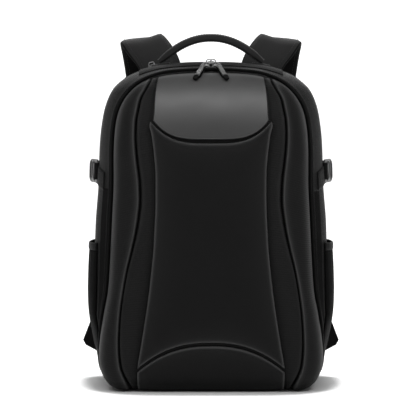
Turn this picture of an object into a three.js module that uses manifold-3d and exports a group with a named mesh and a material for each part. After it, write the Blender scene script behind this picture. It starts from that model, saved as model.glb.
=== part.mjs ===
// Hard shell backpack standing on its flat underside. Millimetres, +Z up, front faces -Y.
// The origin is the middle of the flat underside. +X is the right side seen from the front.
import * as THREE from "three";
import { mergeVertices } from "three/addons/utils/BufferGeometryUtils.js";
import Module from "manifold-3d";

const wasm = await Module();
wasm.setup();

// Body
const shellHalf = 160;            // half-width of the moulded shell at the hips
const shellHeight = 452;          // top of the shell's edge above the floor
const shellFoot = 1;              // underside of the shell's edge above the floor
const bodyHalf = 168;             // half-width of the cloth body at its widest
const bodyMargin = 11.5;          // how far the cloth body rises above the shell's edge
const bodyHeight = shellHeight + bodyMargin;
const bodyDepth = 112;            // from the shell's edge to the back panel
const rimY = -56;                 // plane of the shell's edge
const clothWall = 2.4;            // padded cloth of the side walls
const clearance = 0.35;           // gap between pieces that touch
const seatClearance = 0.9;        // gap under the pieces that lie on the curved front

// Moulded front
const shellDepth = 50;            // how far the front stands out from the shell's edge
const shellWall = 3.2;
const topRoll = 118;              // height over which the top rounds forward
const bottomRoll = 26;            // height over which the bottom rounds forward
const sideFullness = 4.2;         // how square the front is across its width
const seatDepth = 3.6;            // recess under the centre panel, cap and lower panel
const channelRise = 2.4;          // how far the channel climbs towards the wing
const grooveDepth = 4;            // depth of the groove beside the wing
const grooveHalf = 3.2;           // half-width of that groove
const wingSwell = 2;              // extra fullness of the wings
const panelHalf = 103.4;          // half-width of the centre panel at its foot
const wingLineHalf = 129.8;       // farthest reach of the groove from the middle
const panelRim = 2.2;             // raised rim of the centre panel above the front
const panelFace = 0.9;            // face of the centre panel above the front
const rimWidth = 6;               // width of that raised rim
const archPeak = 71.4;            // height of the centre panel's lower edge at the middle
const archDrop = 37;              // how far that edge falls towards its corners
const archGap = 5.2;              // groove between the centre panel and the lower panel
const capHalf = 81.5;             // half-width of the smooth cap
const capFoot = 356.8;            // height of the cap's lower edge at the middle
const capRise = 27;               // how far that edge climbs towards its corners
const capGap = 5.4;               // groove between the cap and the centre panel
const capFace = 1.8;              // face of the cap above the front
const edgeInset = 2.4;            // cap and lower panel stop this far inside the shell's edge
const capInset = 2.2;             // the cap is this much narrower on each side than the centre panel's line

// Trim and zips
const pipingRadius = 2.1;
const pipingEnd = 16.4;           // station of the outline at which the piping ends
const tapeThickness = 1.5;
const zipEnd = 16;                // station at which the main zip ends
const mainZipDepth = [0.045, 0.17]; // shares of the body's depth
const bandDepth = [0.2, 0.76];
const rearZipDepth = [0.8, 0.89];
const rearZipFoot = 235;          // height of the rear zip's ends
const rearSliderHalf = 86;        // from the middle to the rear zip's slider
const bandHalf = 103;             // half-width of the black band across the top
const sliderLength = 11;
const sliderWidth = 8;
const sliderGap = 3;              // space between the two closed sliders
const pullLength = 22;
const pullWidth = 6.4;
const pullThickness = 1.6;
const pullCorner = 2.2;
const eyeSize = 3.2;
const eyeInset = 2.6;             // from the top of a pull to the middle of its eye
const linkInside = 4.4;           // inside width of the link between a slider and its pull
const sliderBase = 2;
const sliderCorner = 2.5;
const bridgeWidth = 2;
const gripThickness = 3;
const eyeSpread = 11;             // half-width at which the eye of each pull lies
const eyeForward = 6.5;           // how far the eye lies in front of the shell's edge
const eyeLift = 9;                // how far the eye lies above the shell's edge
const tipSpread = 24;             // half-width at which each grip rests on the cap
const tipDrop = 17;               // how far below the shell's edge it rests
const gripLength = 13;
const wire = 1.2;                 // thickness of the links and bridges

// Handle
const handleY = 8;
const handleArch = 40.5;          // how far the handle rises above the cloth body
const handleHalf = 72;            // from the middle to each foot
const handleThickness = 9;
const handleWidth = 24;
const footLength = 26;
const footThickness = 2;
const footBorder = 3;             // how far a foot reaches past the handle

// Back and straps
const backThickness = 6;
const padThickness = 13;
const padWidth = 104;
const padTop = 402;
const padFoot = 196;
const padMiddleGap = 26;
const padCorner = 18;
const lumbarHeight = 96;
const strapWidth = 62;
const strapThickness = 13;
const strapArch = 30.5;           // how far the middle of the strap rises above the cloth body
const strapRootHalf = 70;         // from the middle to the strap's root
const strapReach = 62;            // how far the strap stands behind the back panel
const lockLength = 34;
const lockWidth = 34;
const lockThickness = 5;
const webWidth = 25;
const webThickness = 1.6;
const tabReach = 190;             // half-width over the two lower tabs
const tabHeight = 82;
const tabThickness = 3;
const slotWidth = 4;              // slots of the ladder locks and hooks
const slotCorner = 1;
const fittingCorner = 4;          // round corners of the ladder locks and hooks

// Sides
const sideStrapHeight = 295;      // middle of the side strap where it leaves the front
const sideStrapRise = 13;         // how far it climbs from there to the hook
const sideStrapWidth = 26;
const hookLength = 26;
const hookHeight = 32;
const hookThickness = 4;
const hookDepth = 0.5;            // middle of the hook, a share of the body's depth
const sideWebDepth = [0.19, 0.78]; // ends of the side strap, shares of the body's depth
const pocketTop = 194;
const pocketFoot = 34;
const pocketBulge = 11;
const pocketWall = 1.6;
const pocketDepth = [0.25, 0.88]; // front and rear edges, shares of the body's depth
const hemHeight = 11;
const hemThickness = 2.6;

const backY = rimY + bodyDepth;
const handlePeak = bodyHeight + handleArch;
const strapCrest = bodyHeight + strapArch;
const backFace = backY + clearance + backThickness;

// Outline of the shell's edge and of the cloth body, from the top middle to the bottom middle.
// Columns: shell half-width, shell height, body half-width, body height, each a share of its size.
const outline = [
  [0.000, 1.000, 0.000, 1.000],
  [0.212, 0.998, 0.238, 0.998],
  [0.412, 0.991, 0.464, 0.989],
  [0.569, 0.973, 0.667, 0.967],
  [0.672, 0.950, 0.774, 0.942],
  [0.747, 0.920, 0.848, 0.915],
  [0.803, 0.888, 0.902, 0.872],
  [0.841, 0.840, 0.933, 0.822],
  [0.861, 0.763, 0.954, 0.751],
  [0.864, 0.641, 0.967, 0.626],
  [0.879, 0.532, 0.991, 0.513],
  [0.897, 0.406, 1.000, 0.397],
  [0.916, 0.310, 1.000, 0.309],
  [0.948, 0.247, 0.997, 0.248],
  [0.984, 0.171, 0.997, 0.173],
  [1.001, 0.100, 0.994, 0.108],
  [0.978, 0.053, 0.973, 0.060],
  [0.919, 0.023, 0.911, 0.026],
  [0.831, 0.003, 0.810, 0.004],
  [0.700, 0.000, 0.667, 0.000],
  [0.375, 0.000, 0.357, 0.000],
  [0.000, 0.000, 0.000, 0.000],
];
const lastStation = outline.length - 1;
const topCorner = 5;              // stations of the outline's corners
const bottomCorner = 17;

// Side of the centre panel. Columns: height share of the shell, half-width share of the panel.
const panelSide = [
  [0.000, 1.000], [0.079, 1.000], [0.135, 0.961], [0.198, 0.917], [0.260, 0.875],
  [0.323, 0.837], [0.385, 0.807], [0.447, 0.781], [0.509, 0.766], [0.571, 0.753],
  [0.633, 0.750], [0.695, 0.753], [0.757, 0.777], [0.827, 0.812], [0.865, 0.799],
  [0.925, 0.781], [0.957, 0.759], [0.987, 0.730], [1.000, 0.716],
];

// Groove beside the wing. Columns: height share of the shell, half-width share of its reach.
const wingLine = [
  [0.000, 0.872], [0.011, 0.880], [0.036, 0.918], [0.077, 0.977], [0.134, 1.000],
  [0.197, 0.997], [0.259, 0.980], [0.321, 0.949], [0.384, 0.908], [0.446, 0.854],
  [0.509, 0.805], [0.571, 0.772], [0.602, 0.763], [0.664, 0.771], [0.726, 0.797],
  [0.788, 0.815], [0.849, 0.810], [0.880, 0.790], [0.917, 0.760], [0.948, 0.701],
  [0.972, 0.659], [1.000, 0.639],
];

// Section of the cloth body from front to back. Columns: share of the depth, and share of the way
// from the shell's outline to the body's outline.
const bodySection = [
  [0.000, 0.00], [0.045, 0.14], [0.120, 0.34], [0.200, 0.63], [0.300, 0.90],
  [0.420, 1.00], [0.740, 1.00], [0.900, 0.93], [1.000, 0.80],
];

// Fullness of a side pocket. Columns: share of its height, share of its bulge.
const pocketFullness = [[0.00, 0.12], [0.16, 0.42], [0.32, 0.72], [0.52, 1.00], [0.80, 0.88], [1.00, 0.70]];

// Middle line of a shoulder strap from its root. Columns: share of the way from the root's half-width
// to the crest's, share of the reach behind the back, height as a share of the crest, width share.
const strapLine = [
  [0.00, 0.020, 0.880, 0.94],
  [0.12, 0.025, 0.925, 0.97],
  [0.50, 0.15, 0.970, 1.00],
  [0.94, 0.37, 1.000, 1.00],
  [1.00, 0.64, 0.998, 1.00],
  [0.92, 0.89, 0.966, 1.00],
  [0.78, 0.98, 0.900, 1.00],
  [0.68, 1.00, 0.810, 1.00],
  [0.68, 1.00, 0.710, 0.98],
  [0.82, 0.97, 0.610, 0.94],
  [1.04, 0.89, 0.510, 0.88],
  [1.30, 0.78, 0.420, 0.80],
  [1.48, 0.64, 0.348, 0.62],
];
const strapLean = 34;             // how far the crest lies outside the root

// Lower tab. Columns: share of the way from the body's half-width to the tab's reach, share of its height.
const tabOutline = [
  [-1.07, 1.00], [-0.15, 1.05], [0.50, 1.00], [1.00, 0.65],
  [0.82, 0.56], [-0.15, 0.42], [-1.07, 0.50],
];

const lerp = (a, b, share) => a + (b - a) * share;
const clamp = (value, low, high) => Math.min(high, Math.max(low, value));

// Value of one column of a table at a place in its first column, along straight lines.
function tableAt(table, place, column = 1) {
  for (let row = 1; row < table.length; row++) {
    if (place <= table[row][0] || row === table.length - 1) {
      const share = clamp((place - table[row - 1][0]) / (table[row][0] - table[row - 1][0]), 0, 1);
      return lerp(table[row - 1][column], table[row][column], share);
    }
  }
  return table[0][column];
}

// Same, along a smooth curve through the rows.
function curveAt(table, place) {
  const last = table.length - 1;
  let row = 1;
  while (row < last && place > table[row][0]) row++;
  const [x0, y0] = table[row - 1];
  const [x1, y1] = table[row];
  const before = table[Math.max(row - 2, 0)];
  const after = table[Math.min(row + 1, last)];
  const span = x1 - x0;
  const slopeStart = (y1 - before[1]) / (x1 - before[0]) * span;
  const slopeEnd = (after[1] - y0) / (after[0] - x0) * span;
  const t = clamp((place - x0) / span, 0, 1);
  const t2 = t * t;
  const t3 = t2 * t;
  return (2 * t3 - 3 * t2 + 1) * y0 + (t3 - 2 * t2 + t) * slopeStart
    + (3 * t2 - 2 * t3) * y1 + (t3 - t2) * slopeEnd;
}

// Closed body from loops of points with an even count. Loops either join round a ring or end in
// flat strips between opposite points. Faces are turned to point out.
function skin(loops, ring = false) {
  const count = loops[0].length;
  const points = loops.flat();
  const positions = points.flatMap((point) => [point.x, point.y, point.z]);
  const index = [];
  const quad = (a, b, c, d) => {
    const firstIsShorter = points[a].distanceTo(points[c]) <= points[b].distanceTo(points[d]);
    if (firstIsShorter) index.push(a, b, c, a, c, d);
    else index.push(a, b, d, b, c, d);
  };
  const strips = ring ? loops.length : loops.length - 1;
  for (let i = 0; i < strips; i++) {
    const near = i * count;
    const far = ((i + 1) % loops.length) * count;
    for (let j = 0; j < count; j++) {
      const next = (j + 1) % count;
      quad(near + j, near + next, far + next, far + j);
    }
  }
  if (!ring) {
    const end = (loops.length - 1) * count;
    for (let j = 0; j < count / 2 - 1; j++) {
      quad(j, count - 1 - j, count - 2 - j, j + 1);
      quad(end + j, end + j + 1, end + count - 2 - j, end + count - 1 - j);
    }
  }
  const geometry = new THREE.BufferGeometry();
  geometry.setAttribute("position", new THREE.Float32BufferAttribute(positions, 3));
  if (signedVolume(positions, index) < 0) {
    for (let k = 0; k < index.length; k += 3) [index[k], index[k + 1]] = [index[k + 1], index[k]];
  }
  geometry.setIndex(index);
  geometry.computeVertexNormals();
  return geometry;
}

function signedVolume(positions, index) {
  const at = (k) => new THREE.Vector3().fromArray(positions, index[k] * 3);
  let volume = 0;
  for (let k = 0; k < index.length; k += 3) volume += at(k).dot(at(k + 1).cross(at(k + 2))) / 6;
  return volume;
}

// Solid between two faces, given as rows of points.
const plate = (outer, inner) => skin(outer.map((row, i) => [...row, ...[...inner[i]].reverse()]));

function manifoldOf(geometry) {
  const bare = geometry.clone();
  bare.deleteAttribute("normal");
  bare.deleteAttribute("uv");
  const merged = mergeVertices(bare, 1e-4);
  const mesh = new wasm.Mesh({
    numProp: 3,
    vertProperties: new Float32Array(merged.attributes.position.array),
    triVerts: new Uint32Array(merged.index.array),
  });
  return new wasm.Manifold(mesh);
}

function joined(first, ...others) {
  let solid = manifoldOf(first);
  for (const other of others) solid = solid.add(manifoldOf(other));
  const mesh = solid.getMesh();
  const geometry = new THREE.BufferGeometry();
  geometry.setAttribute("position", new THREE.Float32BufferAttribute(mesh.vertProperties, 3));
  geometry.setIndex([...mesh.triVerts]);
  geometry.computeVertexNormals();
  return geometry;
}

// Materials
const paint = (color, roughness, metalness = 0) => () =>
  new THREE.MeshStandardMaterial({ color, roughness, metalness });
const shellCloth = paint(0x1f2021, 0.75);
const satin = paint(0x3a3b3c, 0.4);
const bodyCloth = paint(0x262728, 0.85);
const blackCloth = paint(0x121212, 0.8);
const meshCloth = paint(0x0e0e0e, 0.9);
const webbing = paint(0x161616, 0.75);
const padCloth = paint(0x2b2c2d, 0.85);
const zipTape = paint(0x101010, 0.6);
const darkMetal = paint(0x8d8f91, 0.35, 0.9);
const gunMetal = paint(0x3b3c3e, 0.4, 0.85);
const rubber = paint(0x151515, 0.6);
const plastic = paint(0x141414, 0.45);

const bag = new THREE.Group();
function piece(name, geometry, material) {
  const mesh = new THREE.Mesh(geometry, material());
  mesh.name = name;
  bag.add(mesh);
  return mesh;
}

const sides = [["left", -1], ["right", 1]];

// Shell edge and body edge at a station counted from the top middle, negative on the left.
function edgePoint(around, columnX, columnZ, half, low, high) {
  const station = Math.min(Math.abs(around), lastStation);
  const row = Math.min(Math.floor(station), lastStation - 1);
  const share = station - row;
  const x = lerp(outline[row][columnX], outline[row + 1][columnX], share) * half;
  const z = lerp(outline[row][columnZ], outline[row + 1][columnZ], share);
  return new THREE.Vector3(Math.sign(around) * x, 0, lerp(low, high, z));
}
const shellEdge = (around) => edgePoint(around, 0, 1, shellHalf, shellFoot, shellHeight);
const bodyEdge = (around) => edgePoint(around, 2, 3, bodyHalf, 0, bodyHeight);

// Direction out of the shell's outline at a station.
function edgeNormal(around) {
  const along = shellEdge(around + 0.3).sub(shellEdge(around - 0.3)).normalize();
  const out = new THREE.Vector3(-along.z, 0, along.x);
  const fromMiddle = shellEdge(around).sub(new THREE.Vector3(0, 0, shellHeight / 2));
  return out.dot(fromMiddle) < 0 ? out.negate() : out;
}

// Station on the side where an edge is at the given height.
function stationAt(edge, height) {
  let high = 0;
  let low = lastStation;
  for (let step = 0; step < 40; step++) {
    const middle = (high + low) / 2;
    if (edge(middle).z > height) high = middle;
    else low = middle;
  }
  return (high + low) / 2;
}

// Station on the top where the body edge is at the given half-width.
function topStationAt(half) {
  let inner = 0;
  let outer = topCorner;
  for (let step = 0; step < 40; step++) {
    const middle = (inner + outer) / 2;
    if (bodyEdge(middle).x < half) inner = middle;
    else outer = middle;
  }
  return (inner + outer) / 2;
}

// Point of the cloth body. depth runs from 0 at the shell's edge to 1 at the back panel.
function bodyBase(around, depth) {
  const flare = tableAt(bodySection, depth);
  const point = shellEdge(around).lerp(bodyEdge(around), flare);
  point.y = lerp(rimY + clearance, backY, depth);
  return point;
}

function bodyNormal(around, depth) {
  const along = bodyBase(around + 0.3, depth).sub(bodyBase(around - 0.3, depth));
  const back = bodyBase(around, Math.min(depth + 0.02, 1)).sub(bodyBase(around, Math.max(depth - 0.02, 0)));
  return along.cross(back).normalize();
}

const bodyPoint = (around, depth, lift = 0) =>
  bodyBase(around, depth).addScaledVector(bodyNormal(around, depth), lift);

// Places between two limits that include every table row or station between them.
function placesBetween(rows, start, end, extra = 0) {
  const inside = rows.filter((place) => place > start + 1e-3 && place < end - 1e-3);
  const places = [start, ...inside, end];
  if (!extra) return places;
  const halfway = (place, i) => (i < places.length - 1 ? [place, (place + places[i + 1]) / 2] : [place]);
  return places.flatMap(halfway);
}
const stations = Array.from({ length: 2 * lastStation + 1 }, (_, i) => i - lastStation);
const depths = bodySection.map((row) => row[0]);

// Piece that lies on the cloth body between two stations and two depths. climb shifts the stations
// with the depth.
function patch(around, depth, lowLift, highLift, extra = 0, climb = () => 0) {
  const rows = placesBetween(stations, ...around, extra);
  const columns = placesBetween(depths, ...depth, extra);
  const liftOf = (lift, a, d) => (typeof lift === "function" ? lift(a, d) : lift);
  const grid = (lift) => rows.map((a) => columns.map((d) => bodyPoint(a + climb(d), d, liftOf(lift, a, d))));
  return plate(grid(highLift), grid(lowLift));
}

// Front of the shell. across runs from 0 at the middle to 1 at the edge, up from 0 to 1 at the top.
function frontBase(across, up) {
  const side = Math.abs(across);
  const low = shellEdge(bottomCorner);
  const high = shellEdge(topCorner);
  const edge = shellEdge(stationAt(shellEdge, lerp(low.z, high.z, up)));
  const top = shellEdge(topCorner * side);
  const bottom = shellEdge(lerp(lastStation, bottomCorner, side));
  const middleZ = lerp(shellFoot, shellHeight, up);
  const x = side * edge.x + (1 - up) * (bottom.x - side * low.x) + up * (top.x - side * high.x);
  const cornerZ = lerp(lerp(shellFoot, shellHeight, up), lerp(low.z, high.z, up), side);
  const borderZ = lerp(bottom.z, top.z, up);
  const z = lerp(middleZ, edge.z, side) + borderZ - cornerZ;
  const topShare = clamp(1 - (1 - up) * shellHeight / topRoll, 0, 1);
  const bottomShare = clamp(1 - up * shellHeight / bottomRoll, 0, 1);
  const fullness = Math.pow(1 - Math.pow(side, sideFullness), 1 / 2.2)
    * Math.sqrt(1 - topShare * topShare) * Math.pow(1 - Math.pow(bottomShare, 2.4), 1 / 2.4);
  return new THREE.Vector3(Math.sign(across) * x, rimY - shellDepth * fullness, z);
}

function frontNormal(across, up) {
  const step = 0.004;
  const sideways = frontBase(Math.min(across + step, 1), up).sub(frontBase(Math.max(across - step, -1), up));
  const upwards = frontBase(across, Math.min(up + step, 1)).sub(frontBase(across, Math.max(up - step, 0)));
  return sideways.cross(upwards).normalize();
}

const frontLift = (across, up, lift) =>
  frontBase(across, up).addScaledVector(frontNormal(across, up), lift);

// Shares across and up of the front that lie at a place seen from the front.
function frontShares(x, z) {
  let across = x / shellHalf;
  let up = z / shellHeight;
  for (let step = 0; step < 14; step++) {
    const point = frontBase(across, up);
    across = clamp(across + (x - point.x) / shellHalf, -1, 1);
    up = clamp(up + (z - point.z) / shellHeight, 0, 1);
  }
  return [across, up];
}
const frontAt = (x, z, lift) => frontLift(...frontShares(x, z), lift);
const frontNormalAt = (x, z) => frontNormal(...frontShares(x, z));

const panelSideAt = (height) => panelHalf * curveAt(panelSide, height / shellHeight);
const wingLineAt = (height) => wingLineHalf * curveAt(wingLine, height / shellHeight);

// Station of the shell's edge that a place on the border of the front belongs to.
function edgeStation(across, up) {
  const side = Math.abs(across);
  const turn = across < 0 ? -1 : 1;
  if (up === 0) return turn * lerp(lastStation, bottomCorner, side);
  if (up === 1) return turn * topCorner * side;
  return turn * stationAt(shellEdge, lerp(shellEdge(bottomCorner).z, shellEdge(topCorner).z, up));
}

// Relief fades out at the shell's edge.
function fade(up) {
  return Math.min(1, (1 - up) * shellHeight / edgeInset / 3, up * shellHeight / edgeInset / 2);
}

// Height across the front at which a line up the front stands.
function acrossFor(lineAt, up) {
  let low = 0;
  let high = 1;
  for (let step = 0; step < 24; step++) {
    const middle = (low + high) / 2;
    const point = frontBase(middle, up);
    if (point.x < lineAt(point.z)) low = middle;
    else high = middle;
  }
  return (low + high) / 2;
}

// Moulded shell: an open tray with its relief in rows that follow the panel side and the groove.
function frontShell() {
  const rowCount = 22;
  const wingShares = [0.28, 0.56, 0.8, 0.93, 0.985, 1];
  const outer = [];
  const inner = [];
  for (let i = 0; i <= rowCount; i++) {
    const up = (1 - Math.cos(Math.PI * i / rowCount)) / 2;
    const panel = acrossFor((z) => panelSideAt(z) + 1.2, up);
    const groove = acrossFor(wingLineAt, up);
    const grooveShare = grooveHalf / shellHalf;
    const half = [
      [panel * 0.5, -seatDepth],
      [panel, -seatDepth],
      [lerp(panel, groove, 0.45), channelRise - seatDepth],
      [groove - grooveShare, 0.6],
      [groove, -grooveDepth],
      [groove + grooveShare, wingSwell * 0.8],
      ...wingShares.map((share) => [
        lerp(groove + grooveShare, 1, share),
        wingSwell * Math.max(0, Math.sin(Math.PI * (0.25 + share * 0.75))),
      ]),
    ];
    const mirrored = half.map(([across, lift]) => [-across, lift]).reverse();
    const row = [...mirrored, [0, -seatDepth], ...half];
    const rowLift = i === 0 || i === rowCount ? 0 : fade(up);
    const place = (across, lift) => frontLift(across, up, lift);
    outer.push(row.map(([across, lift]) => place(across, lift * rowLift)));
    inner.push(row.map(([across, lift]) => {
      const onEdge = i === 0 || i === rowCount || Math.abs(across) === 1;
      if (!onEdge) return place(across, lift * rowLift - shellWall);
      const around = edgeStation(across, up);
      return shellEdge(around).addScaledVector(edgeNormal(around), -shellWall).setY(rimY);
    }));
  }
  return plate(outer, inner);
}

// Raised plate on the front between a lower and an upper line. The rim is one step in from its edge.
function frontPlate(halfAt, lowAt, highAt, face, rim, rimSpan, rows, columns) {
  const underside = seatClearance - seatDepth;
  const steps = (count, inset) => {
    const inner = Array.from({ length: count + 1 }, (_, i) => lerp(inset, 1 - inset, i / count));
    return [0, inset * 0.3, ...inner, 1 - inset * 0.3, 1];
  };
  const acrossSteps = steps(columns, rimSpan / (2 * halfAt((lowAt(0) + highAt(0)) / 2)));
  const upSteps = steps(rows, rimSpan / (highAt(0) - lowAt(0)));
  const outer = [];
  const inner = [];
  upSteps.forEach((upShare, i) => {
    const outerRow = [];
    const innerRow = [];
    acrossSteps.forEach((acrossShare, j) => {
      const height = lerp(lowAt(0), highAt(0), upShare);
      let x = (2 * acrossShare - 1) * halfAt(height);
      let z = lerp(lowAt(x), highAt(x), upShare);
      for (let step = 0; step < 4; step++) {
        x = (2 * acrossShare - 1) * halfAt(z);
        z = lerp(lowAt(x), highAt(x), upShare);
      }
      const ringNumber = Math.min(i, j, upSteps.length - 1 - i, acrossSteps.length - 1 - j);
      const lift = ringNumber === 0 ? face - 1.6 : ringNumber === 1 ? rim : face;
      const [across, up] = frontShares(x, z);
      outerRow.push(frontLift(across, up, lift * fade(up)));
      innerRow.push(frontLift(across, up, underside * fade(up)));
    });
    outer.push(outerRow);
    inner.push(innerRow);
  });
  return plate(outer, inner);
}

const archAt = (x) => archPeak - archDrop * Math.pow(Math.abs(x) / panelHalf, 2.4);
const panelTopAt = (x) => capFoot - capGap + capRise * Math.pow(Math.abs(x) / capHalf, 3.4);
const capFootAt = (x) => capFoot + capRise * Math.pow(Math.abs(x) / capHalf, 4);
const capTopAt = (x) => {
  let station = 0;
  for (let step = 0; step < 30; step++) station += (Math.abs(x) - shellEdge(station).x) / shellHalf * 2;
  return shellEdge(clamp(station, 0, topCorner)).z - edgeInset;
};

// Round strap, web or handle along a line of points. across gives the direction of the width.
function sweep(points, across, widths, thicknesses, steps) {
  const curve = new THREE.CatmullRomCurve3(points, false, "centripetal");
  const shareTable = (values) => values.map((value, i) => [i / (values.length - 1), value]);
  const widthTable = shareTable(widths);
  const thicknessTable = shareTable(thicknesses);
  const section = [
    [-1, 0.35], [-0.86, 1], [0.86, 1], [1, 0.35],
    [1, -0.35], [0.86, -1], [-0.86, -1], [-1, -0.35],
  ];
  const loops = [];
  for (let i = 0; i <= steps; i++) {
    const share = i / steps;
    const tangent = curve.getTangent(share);
    const wide = across.clone().addScaledVector(tangent, -across.dot(tangent)).normalize();
    const thick = tangent.clone().cross(wide);
    const width = tableAt(widthTable, share) / 2;
    const thickness = tableAt(thicknessTable, share) / 2;
    loops.push(section.map(([w, t]) => curve.getPoint(share)
      .addScaledVector(wide, w * width).addScaledVector(thick, t * thickness)));
  }
  return skin(loops);
}

// Flat plate with round corners and optional holes, its thickness along +Z from 0.
function flatPlate(width, height, radius, thickness, holes = [], corner = 2) {
  const shape = new THREE.Shape();
  roundedPath(shape, width, height, radius, 0, 0);
  for (const hole of holes) {
    const path = new THREE.Path();
    roundedPath(path, hole.width, hole.height, hole.radius, hole.x, hole.y);
    shape.holes.push(path);
  }
  return new THREE.ExtrudeGeometry(shape, { depth: thickness, bevelEnabled: false, curveSegments: corner });
}

function roundedPath(path, width, height, radius, x, y) {
  const w = width / 2;
  const h = height / 2;
  const r = Math.min(radius, w, h);
  const corners = [[w - r, r - h, -1], [w - r, h - r, 0], [r - w, h - r, 1], [r - w, r - h, 2]];
  corners.forEach(([cx, cy, turn], i) => {
    const start = turn * Math.PI / 2;
    if (i === 0) path.moveTo(x + cx + r * Math.cos(start), y + cy + r * Math.sin(start));
    path.absarc(x + cx, y + cy, r, start, start + Math.PI / 2, false);
  });
  path.closePath();
}

// Plate with two slots for webbing.
function slottedPlate(length, width, thickness, slotLength) {
  const slot = { width: slotWidth, height: slotLength, radius: slotCorner, y: 0 };
  const holes = [{ ...slot, x: -length / 4 }, { ...slot, x: length / 4 }];
  return flatPlate(length, width, fittingCorner, thickness, holes, 1);
}

// Set a geometry on a place with its own X, Y and Z directions.
function setOn(geometry, origin, along, up) {
  const z = up.clone().normalize();
  const x = along.clone().addScaledVector(z, -along.dot(z)).normalize();
  const y = z.clone().cross(x);
  return geometry.applyMatrix4(new THREE.Matrix4().makeBasis(x, y, z).setPosition(origin));
}

// Moulded front
piece("front_shell", frontShell(), shellCloth);
piece("centre_panel",
  frontPlate(panelSideAt, archAt, panelTopAt, panelFace, panelRim, rimWidth, 9, 6), shellCloth);
piece("top_cap",
  frontPlate((z) => panelSideAt(z) - capInset, capFootAt, capTopAt, capFace, capFace, rimWidth, 6, 6), satin);
const lowerPanelTop = (x) => archAt(x) - archGap;
const lowerPanelFoot = () => shellFoot + edgeInset;
piece("lower_panel",
  frontPlate(panelSideAt, lowerPanelFoot, lowerPanelTop, panelFace, panelRim, rimWidth, 8, 6), shellCloth);

// Cloth body: a band with its front and back open
function gusset() {
  const loops = [];
  for (let around = 1 - lastStation; around <= lastStation; around++) {
    const outer = depths.map((depth) => bodyPoint(around, depth));
    const inner = depths.map((depth, i) => {
      const atEnd = i === 0 || i === depths.length - 1;
      const point = bodyPoint(around, depth, -clothWall);
      if (atEnd) point.y = outer[i].y;
      return point;
    });
    loops.push([...outer, ...inner.reverse()]);
  }
  return skin(loops, true);
}
piece("gusset", gusset(), bodyCloth);

// Piping in the corner between the shell's edge and the cloth body
function piping() {
  const loops = placesBetween(stations, -pipingEnd, pipingEnd).map((around) => {
    const out = edgeNormal(around);
    const middle = shellEdge(around).addScaledVector(out, pipingRadius + 2 * clearance);
    middle.y = rimY - pipingRadius * 0.75;
    return Array.from({ length: 6 }, (_, i) => {
      const angle = Math.PI * i / 3;
      return middle.clone().addScaledVector(out, pipingRadius * Math.cos(angle))
        .add(new THREE.Vector3(0, pipingRadius * Math.sin(angle), 0));
    });
  });
  return skin(loops);
}
piece("shell_piping", piping(), zipTape);

// Zips and the band across the top
const rearZipEnd = stationAt(bodyEdge, rearZipFoot);
const tapeTop = clearance + tapeThickness;
const bandStation = topStationAt(bandHalf);
const mainZipTop = clearance + tapeTop;
piece("main_zip", patch([-zipEnd, zipEnd], mainZipDepth, 2.4 * clearance, mainZipTop), zipTape);
piece("rear_zip", patch([-rearZipEnd, rearZipEnd], rearZipDepth, clearance, tapeTop), zipTape);
piece("top_band", patch([-bandStation, bandStation], bandDepth, clearance, tapeTop), blackCloth);

// Zip slider: a base with a bridge above it. Its length is X, its top is +Z.
const bridgeBar = sliderBase + 3 * clearance + linkInside / 2 + wire;
function slider() {
  const base = flatPlate(sliderLength, sliderWidth, sliderCorner, sliderBase);
  const foot = sliderBase / 2;
  const top = bridgeBar + wire / 2;
  const side = new THREE.Shape();
  roundedPath(side, sliderLength - 2, top - foot, 1.6, 0, (top + foot) / 2);
  const slotTop = bridgeBar - wire / 2;
  const slot = new THREE.Path();
  roundedPath(slot, sliderLength - 2 - 2 * wire, slotTop - sliderBase, 0.8, 0, (slotTop + sliderBase) / 2);
  side.holes.push(slot);
  const extrusion = { depth: bridgeWidth, bevelEnabled: false, curveSegments: 2 };
  const bridge = new THREE.ExtrudeGeometry(side, extrusion);
  bridge.translate(0, 0, -bridgeWidth / 2).rotateX(Math.PI / 2);
  return joined(base, bridge);
}

// Pull: a flat tab with an eye at its top, a link through the eye, and a grip over its lower end.
function pullTab() {
  const hole = { width: eyeSize, height: eyeSize, radius: eyeSize / 2, x: 0, y: pullLength / 2 - eyeInset };
  const tab = flatPlate(pullWidth, pullLength, pullCorner, pullThickness, [hole]);
  return tab.translate(0, 0, -pullThickness / 2);
}

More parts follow.
